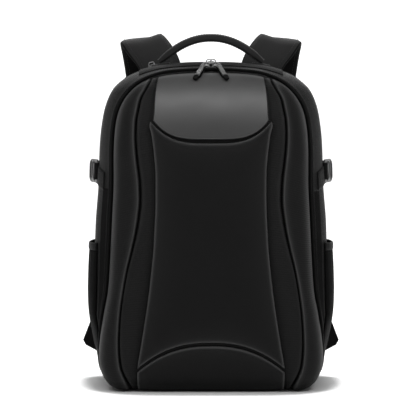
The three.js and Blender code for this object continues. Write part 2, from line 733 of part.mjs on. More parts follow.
function zipPull(name, side) {
  const station = (sliderLength + sliderGap) / 2 / (outline[1][0] * shellHalf) * side;
  const seatDepthShare = (mainZipDepth[0] + mainZipDepth[1]) / 2;
  const up = bodyNormal(station, seatDepthShare);
  const seat = bodyPoint(station, seatDepthShare, mainZipTop + 1.5 * clearance);
  piece(`zip_slider_${name}`, setOn(slider(), seat, new THREE.Vector3(1, 0, 0), up), darkMetal);

  const bridge = seat.clone().addScaledVector(up, bridgeBar);
  const eye = new THREE.Vector3(side * eyeSpread, rimY - eyeForward, shellHeight + eyeLift);
  const tip = frontAt(side * tipSpread, shellHeight - tipDrop, capFace + 3 * clearance + gripThickness / 2);
  const along = tip.clone().sub(eye).normalize();
  const normal = frontNormalAt(side * tipSpread, shellHeight - tipDrop / 2);
  const tabMiddle = eye.clone().addScaledVector(along, pullLength / 2 - eyeInset);
  const tab = setOn(pullTab().rotateZ(-Math.PI / 2), tabMiddle, along.clone().negate(), normal);
  piece(`zip_tab_${name}`, tab, darkMetal);

  const reach = bridge.clone().sub(eye).normalize();
  const linkStart = eye.clone().addScaledVector(reach, -wire / 2);
  const linkEnd = bridge.clone().addScaledVector(reach, bridgeWidth / 2 + 2 * clearance + wire);
  const linkLength = linkEnd.distanceTo(linkStart);
  const linkWidth = linkInside + 2 * wire;
  const hole = { width: linkLength - 2 * wire, height: linkInside, radius: linkInside / 2, x: 0, y: 0 };
  const link = flatPlate(linkLength, linkWidth, linkWidth / 2, wire, [hole], 3).translate(0, 0, -wire / 2);
  const sideways = normal.clone().cross(reach).normalize();
  piece(`zip_link_${name}`, setOn(link, linkStart.lerp(linkEnd, 0.5), reach, sideways), darkMetal);

  const grip = flatPlate(gripLength, pullWidth + 0.8, 2.4, gripThickness).translate(0, 0, -gripThickness / 2);
  const gripMiddle = eye.clone().addScaledVector(along, pullLength - eyeInset + clearance + gripLength / 2);
  piece(`zip_grip_${name}`, setOn(grip, gripMiddle, along, normal), rubber);
}
for (const [name, side] of sides) zipPull(name, side);

// Rear zip slider with a small tab that lies on the band
const rearStation = -topStationAt(rearSliderHalf);
const rearDepth = (rearZipDepth[0] + rearZipDepth[1]) / 2;
const rearUp = bodyNormal(rearStation, rearDepth);
const rearAlong = bodyBase(rearStation + 0.2, rearDepth).sub(bodyBase(rearStation - 0.2, rearDepth));
const rearSeat = bodyPoint(rearStation, rearDepth, tapeTop + clearance);
piece("rear_slider", setOn(slider(), rearSeat, rearAlong, rearUp), darkMetal);

// Handle with a foot at each end
const bandTopAt = (half) => bodyPoint(topStationAt(half), (handleY - rimY) / bodyDepth, tapeTop);
const handleBase = bandTopAt(handleHalf).z + footThickness + 2 * clearance + handleThickness * 0.27;
const handleRise = handlePeak - handleThickness / 2 - handleBase;
// Columns: share of the half-width, share of the rise.
const handleLine = [[1.02, 0], [0.96, 0.1], [0.8, 0.38], [0.62, 0.635], [0.42, 0.84], [0.2, 0.97], [0, 1]];
const handlePoints = [...handleLine.map(([x, z]) => [-x, z]), ...handleLine.slice(0, -1).reverse()]
  .map(([x, z]) => new THREE.Vector3(x * handleHalf, handleY, handleBase + z * handleRise));
const handleEnds = (size, share) => [size * share, size, size, size, size * share];
piece("carry_handle", sweep(handlePoints, new THREE.Vector3(0, 1, 0),
  handleEnds(handleWidth, 0.8), handleEnds(handleThickness, 0.6), 20), webbing);
const footStations = [topStationAt(handleHalf - footLength / 2), topStationAt(handleHalf + footLength / 2)];
const footHalf = handleWidth / 2 + footBorder;
const footDepths = [handleY - footHalf, handleY + footHalf].map((y) => (y - rimY) / bodyDepth);
for (const [name, side] of sides) {
  const around = footStations.map((station) => station * side).sort((a, b) => a - b);
  piece(`handle_foot_${name}`,
    patch(around, footDepths, tapeTop + clearance, tapeTop + clearance + footThickness), blackCloth);
}

// Back panel and its pads
function backPanel() {
  const edge = stations.slice(1).map((around) => bodyBase(around, 1));
  const shape = new THREE.Shape(edge.map((point) => new THREE.Vector2(point.x, point.z)));
  const geometry = new THREE.ExtrudeGeometry(shape, { depth: backThickness, bevelEnabled: false });
  return geometry.rotateX(Math.PI / 2).translate(0, backFace, 0);
}
piece("back_panel", backPanel(), blackCloth);

function backPad(width, height, x, z) {
  const bevel = padThickness * 0.3;
  const shape = new THREE.Shape();
  roundedPath(shape, width - 2 * bevel, height - 2 * bevel, padCorner, 0, 0);
  const geometry = new THREE.ExtrudeGeometry(shape, {
    depth: padThickness - 2 * bevel,
    bevelThickness: bevel,
    bevelSize: bevel,
    bevelSegments: 1,
    curveSegments: 3,
  });
  return geometry.translate(0, 0, bevel).rotateX(-Math.PI / 2).translate(x, backFace + clearance, z);
}
for (const [name, side] of sides) {
  const x = side * (padWidth + padMiddleGap) / 2;
  piece(`back_pad_${name}`, backPad(padWidth, padTop - padFoot, x, (padTop + padFoot) / 2), meshCloth);
}
const lumbarWidth = 2 * padWidth + padMiddleGap;
const lumbarTop = padFoot - padMiddleGap / 2;
piece("lumbar_pad", backPad(lumbarWidth, lumbarHeight, 0, lumbarTop - lumbarHeight / 2), meshCloth);

// Shoulder straps, each with a ladder lock, a lower web and a triangular tab
const strapRest = clearance + strapThickness / 2;
const strapPoint = (side, [lean, reach, height]) => new THREE.Vector3(
  side * (strapRootHalf + lean * strapLean),
  backFace + lerp(strapRest, strapReach, reach), height * strapCrest);
const tabFace = backFace + clearance;
for (const [name, side] of sides) {
  const points = strapLine.map((row) => strapPoint(side, row));
  const widths = strapLine.map((row) => row[3] * strapWidth);
  const thicknesses = strapLine.map(() => strapThickness);
  thicknesses[0] *= 0.8;
  thicknesses[thicknesses.length - 1] *= 0.6;
  const strap = sweep(points, new THREE.Vector3(1, 0, 0), widths, thicknesses, 24);
  piece(`shoulder_strap_${name}`, strap, padCloth);

  const end = points[points.length - 1];
  const tabX = (tabReach + bodyHalf) / 2 + clearance;
  const webFace = tabFace + tabThickness + 2 * clearance;
  const target = new THREE.Vector3(side * tabX, webFace + 1.2 * webThickness, tabHeight * 0.72);
  const down = target.clone().sub(end).normalize();
  const across = new THREE.Vector3(1, 0, 0).addScaledVector(down, -down.x).normalize();
  const outward = across.clone().cross(down).normalize();
  if (outward.y < 0) outward.negate();
  const lock = slottedPlate(lockLength, lockWidth, lockThickness, webWidth + 2);
  lock.translate(0, 0, -lockThickness / 2);
  const lockGap = 2 * clearance + strapThickness * 0.45;
  const lockMiddle = end.clone().addScaledVector(down, lockLength / 2 + lockGap);
  piece(`ladder_lock_${name}`, setOn(lock, lockMiddle, down, outward), plastic);
  const webStart = lockMiddle.clone().addScaledVector(down, lockLength / 2 + clearance);
  piece(`lower_web_${name}`, sweep(
    [webStart, webStart.clone().lerp(target, 0.5).add(new THREE.Vector3(0, 3, 0)), target],
    across, [webWidth, webWidth], [webThickness, webThickness], 8), webbing);

  const tab = new THREE.Shape(tabOutline.map(([x, z]) => new THREE.Vector2(
    side * lerp(bodyHalf, tabReach, x), z * tabHeight)));
  const tabGeometry = new THREE.ExtrudeGeometry(tab, { depth: tabThickness, bevelEnabled: false });
  tabGeometry.rotateX(Math.PI / 2).translate(0, tabFace + tabThickness, 0);
  piece(`lower_tab_${name}`, tabGeometry, blackCloth);
}

// Side compression straps with a metal hook, and the stretch pockets
function sidePatch(side, high, low, depth, lowLift, highLift, extra, climb) {
  const around = [stationAt(bodyEdge, high), stationAt(bodyEdge, low)].map((station) => station * side);
  return patch(around.sort((a, b) => a - b), depth, lowLift, highLift, extra, climb);
}
const hookShare = hookLength / bodyDepth;
const webTop = clearance + webThickness;
const frontWeb = [sideWebDepth[0], hookDepth - hookShare * 0.1];
const rearWeb = [hookDepth + hookShare * 0.1, sideWebDepth[1]];
const strapStation = stationAt(bodyEdge, sideStrapHeight);
const hookStation = stationAt(bodyEdge, sideStrapHeight + sideStrapRise);
function climb(depth) {
  const share = (depth - sideWebDepth[0]) / (hookDepth - sideWebDepth[0]);
  return (hookStation - strapStation) * Math.min(1, share);
}
for (const [name, side] of sides) {
  const high = sideStrapHeight + sideStrapWidth / 2;
  const low = sideStrapHeight - sideStrapWidth / 2;
  piece(`side_web_front_${name}`,
    sidePatch(side, high, low, frontWeb, clearance, webTop, 0, (d) => side * climb(d)), webbing);
  piece(`side_web_rear_${name}`,
    sidePatch(side, high, low, rearWeb, clearance, webTop, 0, (d) => side * climb(d)), webbing);

  const hook = slottedPlate(hookLength, hookHeight, hookThickness, sideStrapWidth);
  const station = hookStation * side;
  const seat = bodyPoint(station, hookDepth, webTop + clearance + 0.4);
  const backwards = new THREE.Vector3(0, 1, 0);
  piece(`side_hook_${name}`, setOn(hook, seat, backwards, bodyNormal(station, hookDepth)), gunMetal);

  const fullness = (around, depth, standOff) => {
    const share = clamp((bodyBase(around, depth).z - pocketFoot) / (pocketTop - pocketFoot), 0, 1);
    const across = (depth - pocketDepth[0]) / (pocketDepth[1] - pocketDepth[0]);
    const round = Math.pow(Math.max(Math.sin(Math.PI * clamp(across, 0, 1)), 0), 0.45);
    return clearance + 0.25 + standOff * tableAt(pocketFullness, share) * round;
  };
  const pocketInside = (around, depth) => fullness(around, depth, pocketBulge - pocketWall);
  const hemInside = (around, depth) => fullness(around, depth, pocketBulge - pocketWall - 0.5);
  const outside = (inside, thickness) => (around, depth) => inside(around, depth) + thickness;
  piece(`side_pocket_${name}`, sidePatch(side, pocketTop, pocketFoot, pocketDepth,
    pocketInside, outside(pocketInside, pocketWall), 1), meshCloth);
  const hemFoot = pocketTop + clearance;
  piece(`pocket_hem_${name}`, sidePatch(side, hemFoot + hemHeight, hemFoot, pocketDepth,
    hemInside, outside(hemInside, hemThickness), 1), webbing);
}

export default bag;
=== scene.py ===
"""Hard shell backpack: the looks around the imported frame. Sizes in the tables are millimetres."""
import math

import bpy
import numpy as np
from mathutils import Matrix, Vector


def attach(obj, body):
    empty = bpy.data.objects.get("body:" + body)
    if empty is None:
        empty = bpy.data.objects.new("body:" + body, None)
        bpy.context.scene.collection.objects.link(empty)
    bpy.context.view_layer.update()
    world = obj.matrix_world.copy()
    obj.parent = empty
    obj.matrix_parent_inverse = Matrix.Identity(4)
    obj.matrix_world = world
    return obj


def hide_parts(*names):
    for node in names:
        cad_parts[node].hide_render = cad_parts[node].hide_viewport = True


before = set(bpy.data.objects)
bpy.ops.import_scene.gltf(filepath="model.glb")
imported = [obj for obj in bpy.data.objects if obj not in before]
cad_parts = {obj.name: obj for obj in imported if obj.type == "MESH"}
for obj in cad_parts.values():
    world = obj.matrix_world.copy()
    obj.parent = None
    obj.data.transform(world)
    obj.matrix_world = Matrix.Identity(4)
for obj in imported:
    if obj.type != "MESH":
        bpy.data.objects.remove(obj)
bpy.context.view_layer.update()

# Body
SHELL_HALF, SHELL_HEIGHT, SHELL_FOOT = 160.0, 452.0, 1.0
BODY_HALF, BODY_HEIGHT, BODY_DEPTH = 168.0, 463.5, 112.0
RIM_Y = -56.0
BACK_Y = RIM_Y + BODY_DEPTH
CLEARANCE = 0.35

# Moulded front
SHELL_DEPTH, TOP_ROLL, BOTTOM_ROLL, SIDE_FULLNESS = 50.0, 118.0, 26.0, 4.2
TOE_HEIGHT, TOE_DROP, CORNER_DROP = 32, 4.2, 2.9
FOOT_FADE, TOP_FADE = 4.8, 7.2
PANEL_HALF, WING_LINE_HALF = 103.4, 129.8
ARCH_PEAK, ARCH_DROP, ARCH_GAP = 71.4, 37.0, 5.2
CAP_HALF, CAP_FOOT, CAP_RISE, CAP_GAP = 81.5, 356.8, 27.0, 5.4
EDGE_INSET = 2.4

# Trim
SIDES = (("left", -1), ("right", 1))
PIPING_RADIUS = 2.1
FLOOR_GAP = 0.4
BAND_HALF = 103.0
MAIN_ZIP = (0.045, 0.17)
REAR_ZIP = (0.8, 0.89)
TOP_BAND = (0.2, 0.76)

# Columns: shell half-width, shell height, body half-width, body height, from the top middle down.
OUTLINE = np.array([
    [0.000, 1.000, 0.000, 1.000], [0.212, 0.998, 0.238, 0.998], [0.412, 0.991, 0.464, 0.989],
    [0.569, 0.973, 0.667, 0.967], [0.672, 0.950, 0.774, 0.942], [0.747, 0.920, 0.848, 0.915],
    [0.803, 0.888, 0.902, 0.872], [0.841, 0.840, 0.933, 0.822], [0.861, 0.763, 0.954, 0.751],
    [0.864, 0.641, 0.967, 0.626], [0.879, 0.532, 0.991, 0.513], [0.897, 0.406, 1.000, 0.397],
    [0.916, 0.310, 1.000, 0.309], [0.948, 0.247, 0.997, 0.248], [0.984, 0.171, 0.997, 0.173],
    [1.001, 0.100, 0.994, 0.108], [0.978, 0.053, 0.973, 0.060], [0.919, 0.023, 0.911, 0.026],
    [0.831, 0.003, 0.810, 0.004], [0.700, 0.000, 0.667, 0.000], [0.375, 0.000, 0.357, 0.000],
    [0.000, 0.000, 0.000, 0.000],
])
LAST = len(OUTLINE) - 1
TOP_CORNER, BOTTOM_CORNER = 5, 17

PANEL_SIDE = [
    [0.000, 1.000], [0.079, 1.000], [0.135, 0.961], [0.198, 0.917], [0.260, 0.875],
    [0.323, 0.837], [0.385, 0.807], [0.447, 0.781], [0.509, 0.766], [0.571, 0.753],
    [0.633, 0.750], [0.695, 0.753], [0.757, 0.777], [0.827, 0.812], [0.865, 0.799],
    [0.925, 0.781], [0.957, 0.759], [0.987, 0.730], [1.000, 0.716],
]
WING_LINE = [
    [0.000, 0.872], [0.011, 0.880], [0.036, 0.918], [0.077, 0.977], [0.134, 1.000],
    [0.197, 0.997], [0.259, 0.980], [0.321, 0.949], [0.384, 0.908], [0.446, 0.854],
    [0.509, 0.805], [0.571, 0.772], [0.602, 0.763], [0.664, 0.771], [0.726, 0.797],
    [0.788, 0.815], [0.849, 0.810], [0.880, 0.790], [0.917, 0.760], [0.948, 0.701],
    [0.972, 0.659], [1.000, 0.639],
]
BODY_SECTION = [
    [0.000, 0.00], [0.045, 0.14], [0.120, 0.34], [0.200, 0.63], [0.300, 0.90],
    [0.420, 1.00], [0.740, 1.00], [0.900, 0.93], [1.000, 0.80],
]
POCKET_FULLNESS = [
    [0.00, 0.02], [0.08, 0.10], [0.18, 0.40], [0.32, 0.70], [0.52, 1.00], [0.80, 0.88], [1.00, 0.70],
]


# Curves and surfaces
def lerp(a, b, share):
    return a + (b - a) * share


def smooth_at(table, places):
    """Value of a two-column table along a smooth curve through its rows."""
    table = np.asarray(table, float)
    x, y = table[:, 0], table[:, 1]
    places = np.clip(np.asarray(places, float), x[0], x[-1])
    row = np.clip(np.searchsorted(x, places), 1, len(x) - 1)
    before, after = np.maximum(row - 2, 0), np.minimum(row + 1, len(x) - 1)
    span = x[row] - x[row - 1]
    start = (y[row] - y[before]) / (x[row] - x[before]) * span
    end = (y[after] - y[row - 1]) / (x[after] - x[row - 1]) * span
    t = (places - x[row - 1]) / span
    return ((2 * t**3 - 3 * t**2 + 1) * y[row - 1] + (t**3 - 2 * t**2 + t) * start
            + (3 * t**2 - 2 * t**3) * y[row] + (t**3 - t**2) * end)


def bell(distance, middle, width):
    return np.exp(-((distance - middle) / width) ** 2)


def edge(around, columns, half, low, high):
    """x and z of an outline at signed stations, through a smooth curve."""
    around = np.asarray(around, float)
    place = np.clip(np.abs(around), 0, LAST)
    row = np.minimum(np.floor(place).astype(int), LAST - 1)
    t = (place - row)[..., None]
    table = OUTLINE[:, columns]
    knots = np.vstack([table[1] * [-1, 1], table, table[-2] * [-1, 1]])
    p0, p1, p2, p3 = (knots[row + k] for k in range(4))
    point = 0.5 * (2 * p1 + (p2 - p0) * t + (2 * p0 - 5 * p1 + 4 * p2 - p3) * t**2
                   + (3 * p1 - 3 * p2 + p3 - p0) * t**3)
    return np.sign(around) * np.abs(point[..., 0]) * half, lerp(low, high, point[..., 1])


def shell_edge(around):
    return edge(around, [0, 1], SHELL_HALF, SHELL_FOOT, SHELL_HEIGHT)


def body_edge(around):
    return edge(around, [2, 3], BODY_HALF, 0.0, BODY_HEIGHT)


FINE = np.linspace(0, LAST, 8401)
SHELL_Z = shell_edge(FINE)[1]
BODY_Z = body_edge(FINE)[1]
BODY_X = body_edge(FINE)[0]


def shell_station(z):
    return np.interp(-np.asarray(z, float), -SHELL_Z, FINE)


def body_station(z):
    return np.interp(-np.asarray(z, float), -BODY_Z, FINE)


def top_station(half):
    top = FINE <= TOP_CORNER
    return np.interp(half, BODY_X[top], FINE[top])


def front_base(across, up):
    """Front of the moulded shell without its relief."""
    across, up = np.broadcast_arrays(np.asarray(across, float), np.asarray(up, float))
    side = np.abs(across)
    low_x, low_z = shell_edge(BOTTOM_CORNER)
    high_x, high_z = shell_edge(TOP_CORNER)
    side_z = lerp(low_z, high_z, up)
    edge_x, edge_z = shell_edge(shell_station(side_z))
    top_x, top_z = shell_edge(TOP_CORNER * side)
    bottom_x, bottom_z = shell_edge(lerp(LAST, BOTTOM_CORNER, side))
    middle_z = lerp(SHELL_FOOT, SHELL_HEIGHT, up)
    x = side * edge_x + (1 - up) * (bottom_x - side * low_x) + up * (top_x - side * high_x)
    z = lerp(middle_z, edge_z, side) + lerp(bottom_z, top_z, up) - lerp(middle_z, side_z, side)
    top_share = np.clip(1 - (1 - up) * SHELL_HEIGHT / TOP_ROLL, 0, 1)
    bottom_share = np.clip(1 - up * SHELL_HEIGHT / BOTTOM_ROLL, 0, 1)
    full = (np.maximum(1 - side**SIDE_FULLNESS, 0) ** (1 / 2.2) * np.sqrt(1 - top_share**2)
            * (1 - bottom_share**2.4) ** (1 / 2.4))
    toe = TOE_DROP - CORNER_DROP * np.clip((x - 70) / 30, 0, 1)
    z = z - toe * np.clip(1 - z / TOE_HEIGHT, 0, 1) ** 1.5 * 1.3
    return np.stack([np.sign(across) * x, RIM_Y - SHELL_DEPTH * full, z], -1)


def unit(v):
    return v / np.maximum(np.linalg.norm(v, axis=-1, keepdims=True), 1e-9)


def front_normal(across, up):
    step = 0.004
    a = front_base(np.minimum(across + step, 1), up) - front_base(np.maximum(across - step, -1), up)
    b = front_base(across, np.minimum(up + step, 1)) - front_base(across, np.maximum(up - step, 0))
    return unit(np.cross(a, b))


def front_lift(across, up, lift):
    point = front_base(across, up) + front_normal(across, up) * np.asarray(lift)[..., None]
    point[..., 2] = np.maximum(point[..., 2], FLOOR_GAP)
    return point


def front_shares(x, z):
    """Shares of the front at which its surface has this x and z."""
    across, up = x / SHELL_HALF, z / SHELL_HEIGHT
    for _ in range(16):
        point = front_base(across, up)
        across = np.clip(across + (x - point[..., 0]) / SHELL_HALF, -1, 1)
        up = np.clip(up + (z - point[..., 2]) / SHELL_HEIGHT, 0, 1)
    return across, up


def tuck(z):
    """1 where the lower front corners of the body hide behind the shell, 0 higher up."""
    return np.clip((100 - z) / 45, 0, 1)


def body_base(around, depth):
    """Cloth body between the shell's edge and the widest outline. depth runs from 0 at the shell to 1."""
    sx, sz = shell_edge(around)
    bx, bz = body_edge(around)
    flare = smooth_at(BODY_SECTION, depth) * (1 - 0.9 * tuck(sz) * np.clip((0.55 - depth) / 0.3, 0, 1))
    y = lerp(RIM_Y + CLEARANCE, BACK_Y, np.asarray(depth, float))
    slim = 1 - 0.35 * np.clip((90 - sz) / 50, 0, 1)
    return np.stack(np.broadcast_arrays(lerp(sx, bx, flare * slim), y, lerp(sz, bz, flare)), -1)


def body_normal(around, depth):
    along = body_base(around + 0.15, depth) - body_base(around - 0.15, depth)
    back = body_base(around, np.minimum(depth + 0.02, 1)) - body_base(around, np.maximum(depth - 0.02, 0))
    return unit(np.cross(along, back))


def body_point(around, depth, lift=0.0):
    around, depth = np.broadcast_arrays(np.asarray(around, float), np.asarray(depth, float))
    return body_base(around, depth) + body_normal(around, depth) * np.asarray(lift)[..., None]


def panel_side(z):
    return PANEL_HALF * smooth_at(PANEL_SIDE, z / SHELL_HEIGHT)


def wing_line(z):
    return WING_LINE_HALF * smooth_at(WING_LINE, z / SHELL_HEIGHT)


def arch_at(x):
    return ARCH_PEAK - ARCH_DROP * (np.abs(x) / PANEL_HALF) ** 2.4


def panel_top_at(x):
    return CAP_FOOT - CAP_GAP + CAP_RISE * (np.abs(x) / CAP_HALF) ** 3.4


def cap_foot_at(x):
    return CAP_FOOT + CAP_RISE * (np.abs(x) / CAP_HALF) ** 4


def cap_top_at(x):
    top = FINE <= TOP_CORNER
    return np.interp(np.abs(x), shell_edge(FINE[top])[0], SHELL_Z[top]) - EDGE_INSET


# Meshes
def grid_faces(rows, columns, ring=False):
    i, j = np.arange(rows - 1), np.arange(columns if ring else columns - 1)
    a = i[:, None] * columns + j
    b = i[:, None] * columns + (j + 1) % columns
    return np.stack([a, b, b + columns, a + columns], -1).reshape(-1, 4)


def ring_cap(count):
    """Quads that close one ring of vertices."""
    k = np.arange(count // 2 - 1)
    return np.stack([k, k + 1, count - 2 - k, count - 1 - k], -1)


def tube_faces(rows, columns):
    """Quads of a row of rings, closed at both ends."""
    cap = ring_cap(columns)
    return np.concatenate([grid_faces(rows, columns, ring=True), cap[:, ::-1], cap + (rows - 1) * columns])


def flat_uvs(verts, faces):
    """x and z in metres, for each face corner."""
    return (verts[faces] / 1000)[:, :, [0, 2]]


def enlist(name, mesh, material, replaces):
    """Object of a mesh, with its material, that rides on the bag."""
    made = bpy.data.objects.new(name, mesh)
    bpy.context.scene.collection.objects.link(made)
    mesh.materials.append(material)
    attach(made, "root")
    if replaces:
        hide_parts(*replaces)
    return made


def make(name, verts, faces, material, uvs=None, wear=None, sharp=50, slot=None, replaces=(), turn=True):
    """Mesh object in metres. uvs hold one pair for each face corner, in metres too."""
    verts, faces = np.asarray(verts, float) / 1000, np.asarray(faces)
    if turn:
        p = verts[faces]
        volume = np.einsum("ij,ij->i", p[:, 0], np.cross(p[:, 1], p[:, 2])).sum()
        if faces.shape[1] == 4:
            volume += np.einsum("ij,ij->i", p[:, 0], np.cross(p[:, 2], p[:, 3])).sum()
        if volume < 0:
            faces = faces[:, ::-1]
            uvs = None if uvs is None else uvs[:, ::-1]
    mesh = bpy.data.meshes.new(name)
    mesh.from_pydata(verts.tolist(), [], faces.tolist())
    if uvs is not None:
        layer = mesh.uv_layers.new(name="UVMap")
        layer.data.foreach_set("uv", np.asarray(uvs, np.float32).reshape(-1))
    if wear is not None:
        layer = mesh.attributes.new("wear", "FLOAT", "POINT")
        layer.data.foreach_set("value", np.asarray(wear, np.float32).reshape(-1))
    mesh.polygons.foreach_set("use_smooth", np.ones(len(mesh.polygons), bool))
    mesh.update()
    if sharp:
        mesh.set_sharp_from_angle(angle=math.radians(sharp))
    return enlist(name, mesh, material, replaces)


def grid_uvs(grid, ring=False):
    """Arc lengths along the rows and columns of a grid, for each face corner."""
    closed = np.concatenate([grid, grid[:, :1]], 1) if ring else grid
    u, v = np.zeros((2, *closed.shape[:2]))
    u[:, 1:] = np.cumsum(np.linalg.norm(np.diff(closed, axis=1), axis=-1), 1)
    u -= u[:, closed.shape[1] // 2][:, None]
    v[1:] = np.cumsum(np.linalg.norm(np.diff(closed, axis=0), axis=-1), 0).mean(1)[:, None]
    rows, cols = grid.shape[0] - 1, closed.shape[1] - 1
    i, j = np.meshgrid(np.arange(rows), np.arange(cols), indexing="ij")
    corners = [np.stack([u[i + down, j + right], v[i + down, j + right]], -1)
               for down, right in ((0, 0), (0, 1), (1, 1), (1, 0))]
    return np.stack(corners, 2).reshape(-1, 4, 2) / 1000


def surface(name, grid, material, **options):
    """One open sheet of quads."""
    return make(name, grid.reshape(-1, 3), grid_faces(*grid.shape[:2]), material, grid_uvs(grid), **options)


def plate(name, outer, inner, material, wear=None, **options):
    """Closed solid between two grids."""
    rows, columns = outer.shape[:2]
    faces = grid_faces(rows, columns)
    uvs = grid_uvs(outer)
    count = rows * columns
    top, bottom = np.arange(columns), np.arange(columns) + (rows - 1) * columns
    left, right = np.arange(rows) * columns, np.arange(rows) * columns + columns - 1
    sides = []
    for line, flip in ((top, False), (bottom, True), (left, True), (right, False)):
        wall = np.stack([line[1:], line[:-1], line[:-1] + count, line[1:] + count], -1)
        sides.append(wall[:, ::-1] if flip else wall)
    sides = np.concatenate(sides)
    verts = np.concatenate([outer.reshape(-1, 3), inner.reshape(-1, 3)])
    all_faces = np.concatenate([faces, faces[:, ::-1] + count, sides])
    all_uvs = np.concatenate([uvs, uvs[:, ::-1], flat_uvs(verts, sides)])
    if wear is not None:
        wear = np.concatenate([wear.reshape(-1), wear.reshape(-1) * 0])
    return make(name, verts, all_faces, material, all_uvs, wear=wear, **options)


def path_through(points, count):
    """Evenly spaced points on a centripetal curve."""
    points = np.asarray(points, float)
    first, last = 2 * points[0] - points[1], 2 * points[-1] - points[-2]
    knots = np.vstack([first, points, last])
    gaps = np.maximum(np.linalg.norm(np.diff(knots, axis=0), axis=1) ** 0.5, 1e-6)
    line = []
    for k in range(1, len(knots) - 2):
        d0, d1, d2 = gaps[k - 1], gaps[k], gaps[k + 1]
        p0, p1, p2, p3 = knots[k - 1:k + 3]
        t1 = ((p1 - p0) / d0 - (p2 - p0) / (d0 + d1) + (p2 - p1) / d1) * d1
        t2 = ((p2 - p1) / d1 - (p3 - p1) / (d1 + d2) + (p3 - p2) / d2) * d1
        t = np.linspace(0, 1, 40, endpoint=k == len(knots) - 3)[:, None]
        line.append((2 * t**3 - 3 * t**2 + 1) * p1 + (t**3 - 2 * t**2 + t) * t1
                    + (3 * t**2 - 2 * t**3) * p2 + (t**3 - t**2) * t2)
    return resample(np.vstack(line), count)


def resample(line, count):
    run = np.concatenate([[0], np.cumsum(np.linalg.norm(np.diff(line, axis=0), axis=1))])
    places = np.linspace(0, run[-1], count)
    return np.stack([np.interp(places, run, line[:, k]) for k in range(3)], -1)


def frames(path, across):
    """Direction of the width and of the thickness along a path."""
    tangent = unit(np.gradient(path, axis=0))
    across = np.broadcast_to(np.asarray(across, float), path.shape)
    wide = unit(across - tangent * np.sum(across * tangent, -1, keepdims=True))
    return tangent, wide, np.cross(tangent, wide)


def section(kind, count=28, power=2.6):
    """Unit outline of a swept piece: pairs of width and thickness from -1 to 1."""
    angle = np.linspace(0, 2 * math.pi, count, endpoint=False)
    c, s = np.cos(angle), np.sin(angle)
    if kind == "round":
        return np.stack([c, s], -1)
    return np.stack([np.sign(c) * np.abs(c) ** (2 / power), np.sign(s) * np.abs(s) ** (2 / power)], -1)


def sweep(name, path, across, width, thickness, material, shape=None, ends=True, **options):
    """Closed sweep of a section along a path. width and thickness are numbers or one value for each point."""
    shape = section("box") if shape is None else shape
    _, wide, thick = frames(path, across)
    width = np.broadcast_to(width, len(path))[:, None, None]
    thickness = np.broadcast_to(thickness, len(path))[:, None, None]
    grid = (path[:, None] + wide[:, None] * shape[None, :, :1] * width / 2
            + thick[:, None] * shape[None, :, 1:] * thickness / 2)
    verts, uvs = grid.reshape(-1, 3), grid_uvs(grid, ring=True)
    if not ends:
        return make(name, verts, grid_faces(*grid.shape[:2], ring=True), material, uvs, **options)
    faces = tube_faces(*grid.shape[:2])
    uvs = np.concatenate([uvs, flat_uvs(verts, faces[len(uvs):])])
    return make(name, verts, faces, material, uvs, **options)


def strip(name, path, across, width, thickness, material=None, **options):
    """Flat webbing along a path."""
    return sweep(name, path, across, width, thickness, material or webbing, slot="webbing", **options)


def beads(name, centres, along, up, size, material, **options):
    """Many small rounded bars as one mesh: teeth and stitches. size is length, width, height."""
    along = unit(np.asarray(along, float))
    up = np.broadcast_to(np.asarray(up, float), along.shape)
    up = unit(up - along * np.sum(up * along, -1, keepdims=True))
    wide = np.cross(along, up)
    stations = np.array([-0.5, -0.4, 0.0, 0.4, 0.5])
    radii = np.array([0.35, 0.85, 1.0, 0.85, 0.35])
    shape = section("round", 6)
    local = np.array([[s * size[0], w * r * size[1] / 2, h * r * size[2] / 2]
                      for s, r in zip(stations, radii) for w, h in shape])
    verts = (centres[:, None] + along[:, None] * local[None, :, :1]
             + wide[:, None] * local[None, :, 1:2] + up[:, None] * local[None, :, 2:])
    starts = np.arange(len(centres)) * len(local)
    all_faces = (tube_faces(len(stations), len(shape))[None] + starts[:, None, None]).reshape(-1, 4)
    return make(name, verts.reshape(-1, 3), all_faces, material, sharp=0, **options)


def along_path(path, pitch):
    run = np.linalg.norm(np.diff(path, axis=0), axis=1).sum()
    return resample(path, max(int(run / pitch), 2))


def stitches(name, path, up, slot, length=2.6, gap=1.2, size=0.55):
    """A row of thread stitches along a path. up is one direction for all, or a function of the centres."""
    centres = along_path(path, length + gap)
    along = np.gradient(centres, axis=0)
    direction = up(centres) if callable(up) else up
    beads(name, centres, along, direction, (length, size, size), thread, slot=slot)


def merge(first, *others):
    """Join meshes that share a finish into one piece."""
    bpy.ops.object.select_all(action="DESELECT")
    for o in (first, *others):
        o.select_set(True)
    bpy.context.view_layer.objects.active = first
    bpy.ops.object.join()
    return first


def rounded(width, height, radius, steps=6, x=0.0, y=0.0):
    """Outline of a rectangle with round corners."""
    radius = min(radius, width / 2, height / 2)
    points = []
    for turn, (sx, sy) in enumerate([(1, -1), (1, 1), (-1, 1), (-1, -1)]):
        for k in range(steps + 1):
            angle = math.pi / 2 * (turn - 1 + k / steps)
            points.append([x + sx * (width / 2 - radius) + radius * math.cos(angle),
                           y + sy * (height / 2 - radius) + radius * math.sin(angle)])
    return np.array(points)


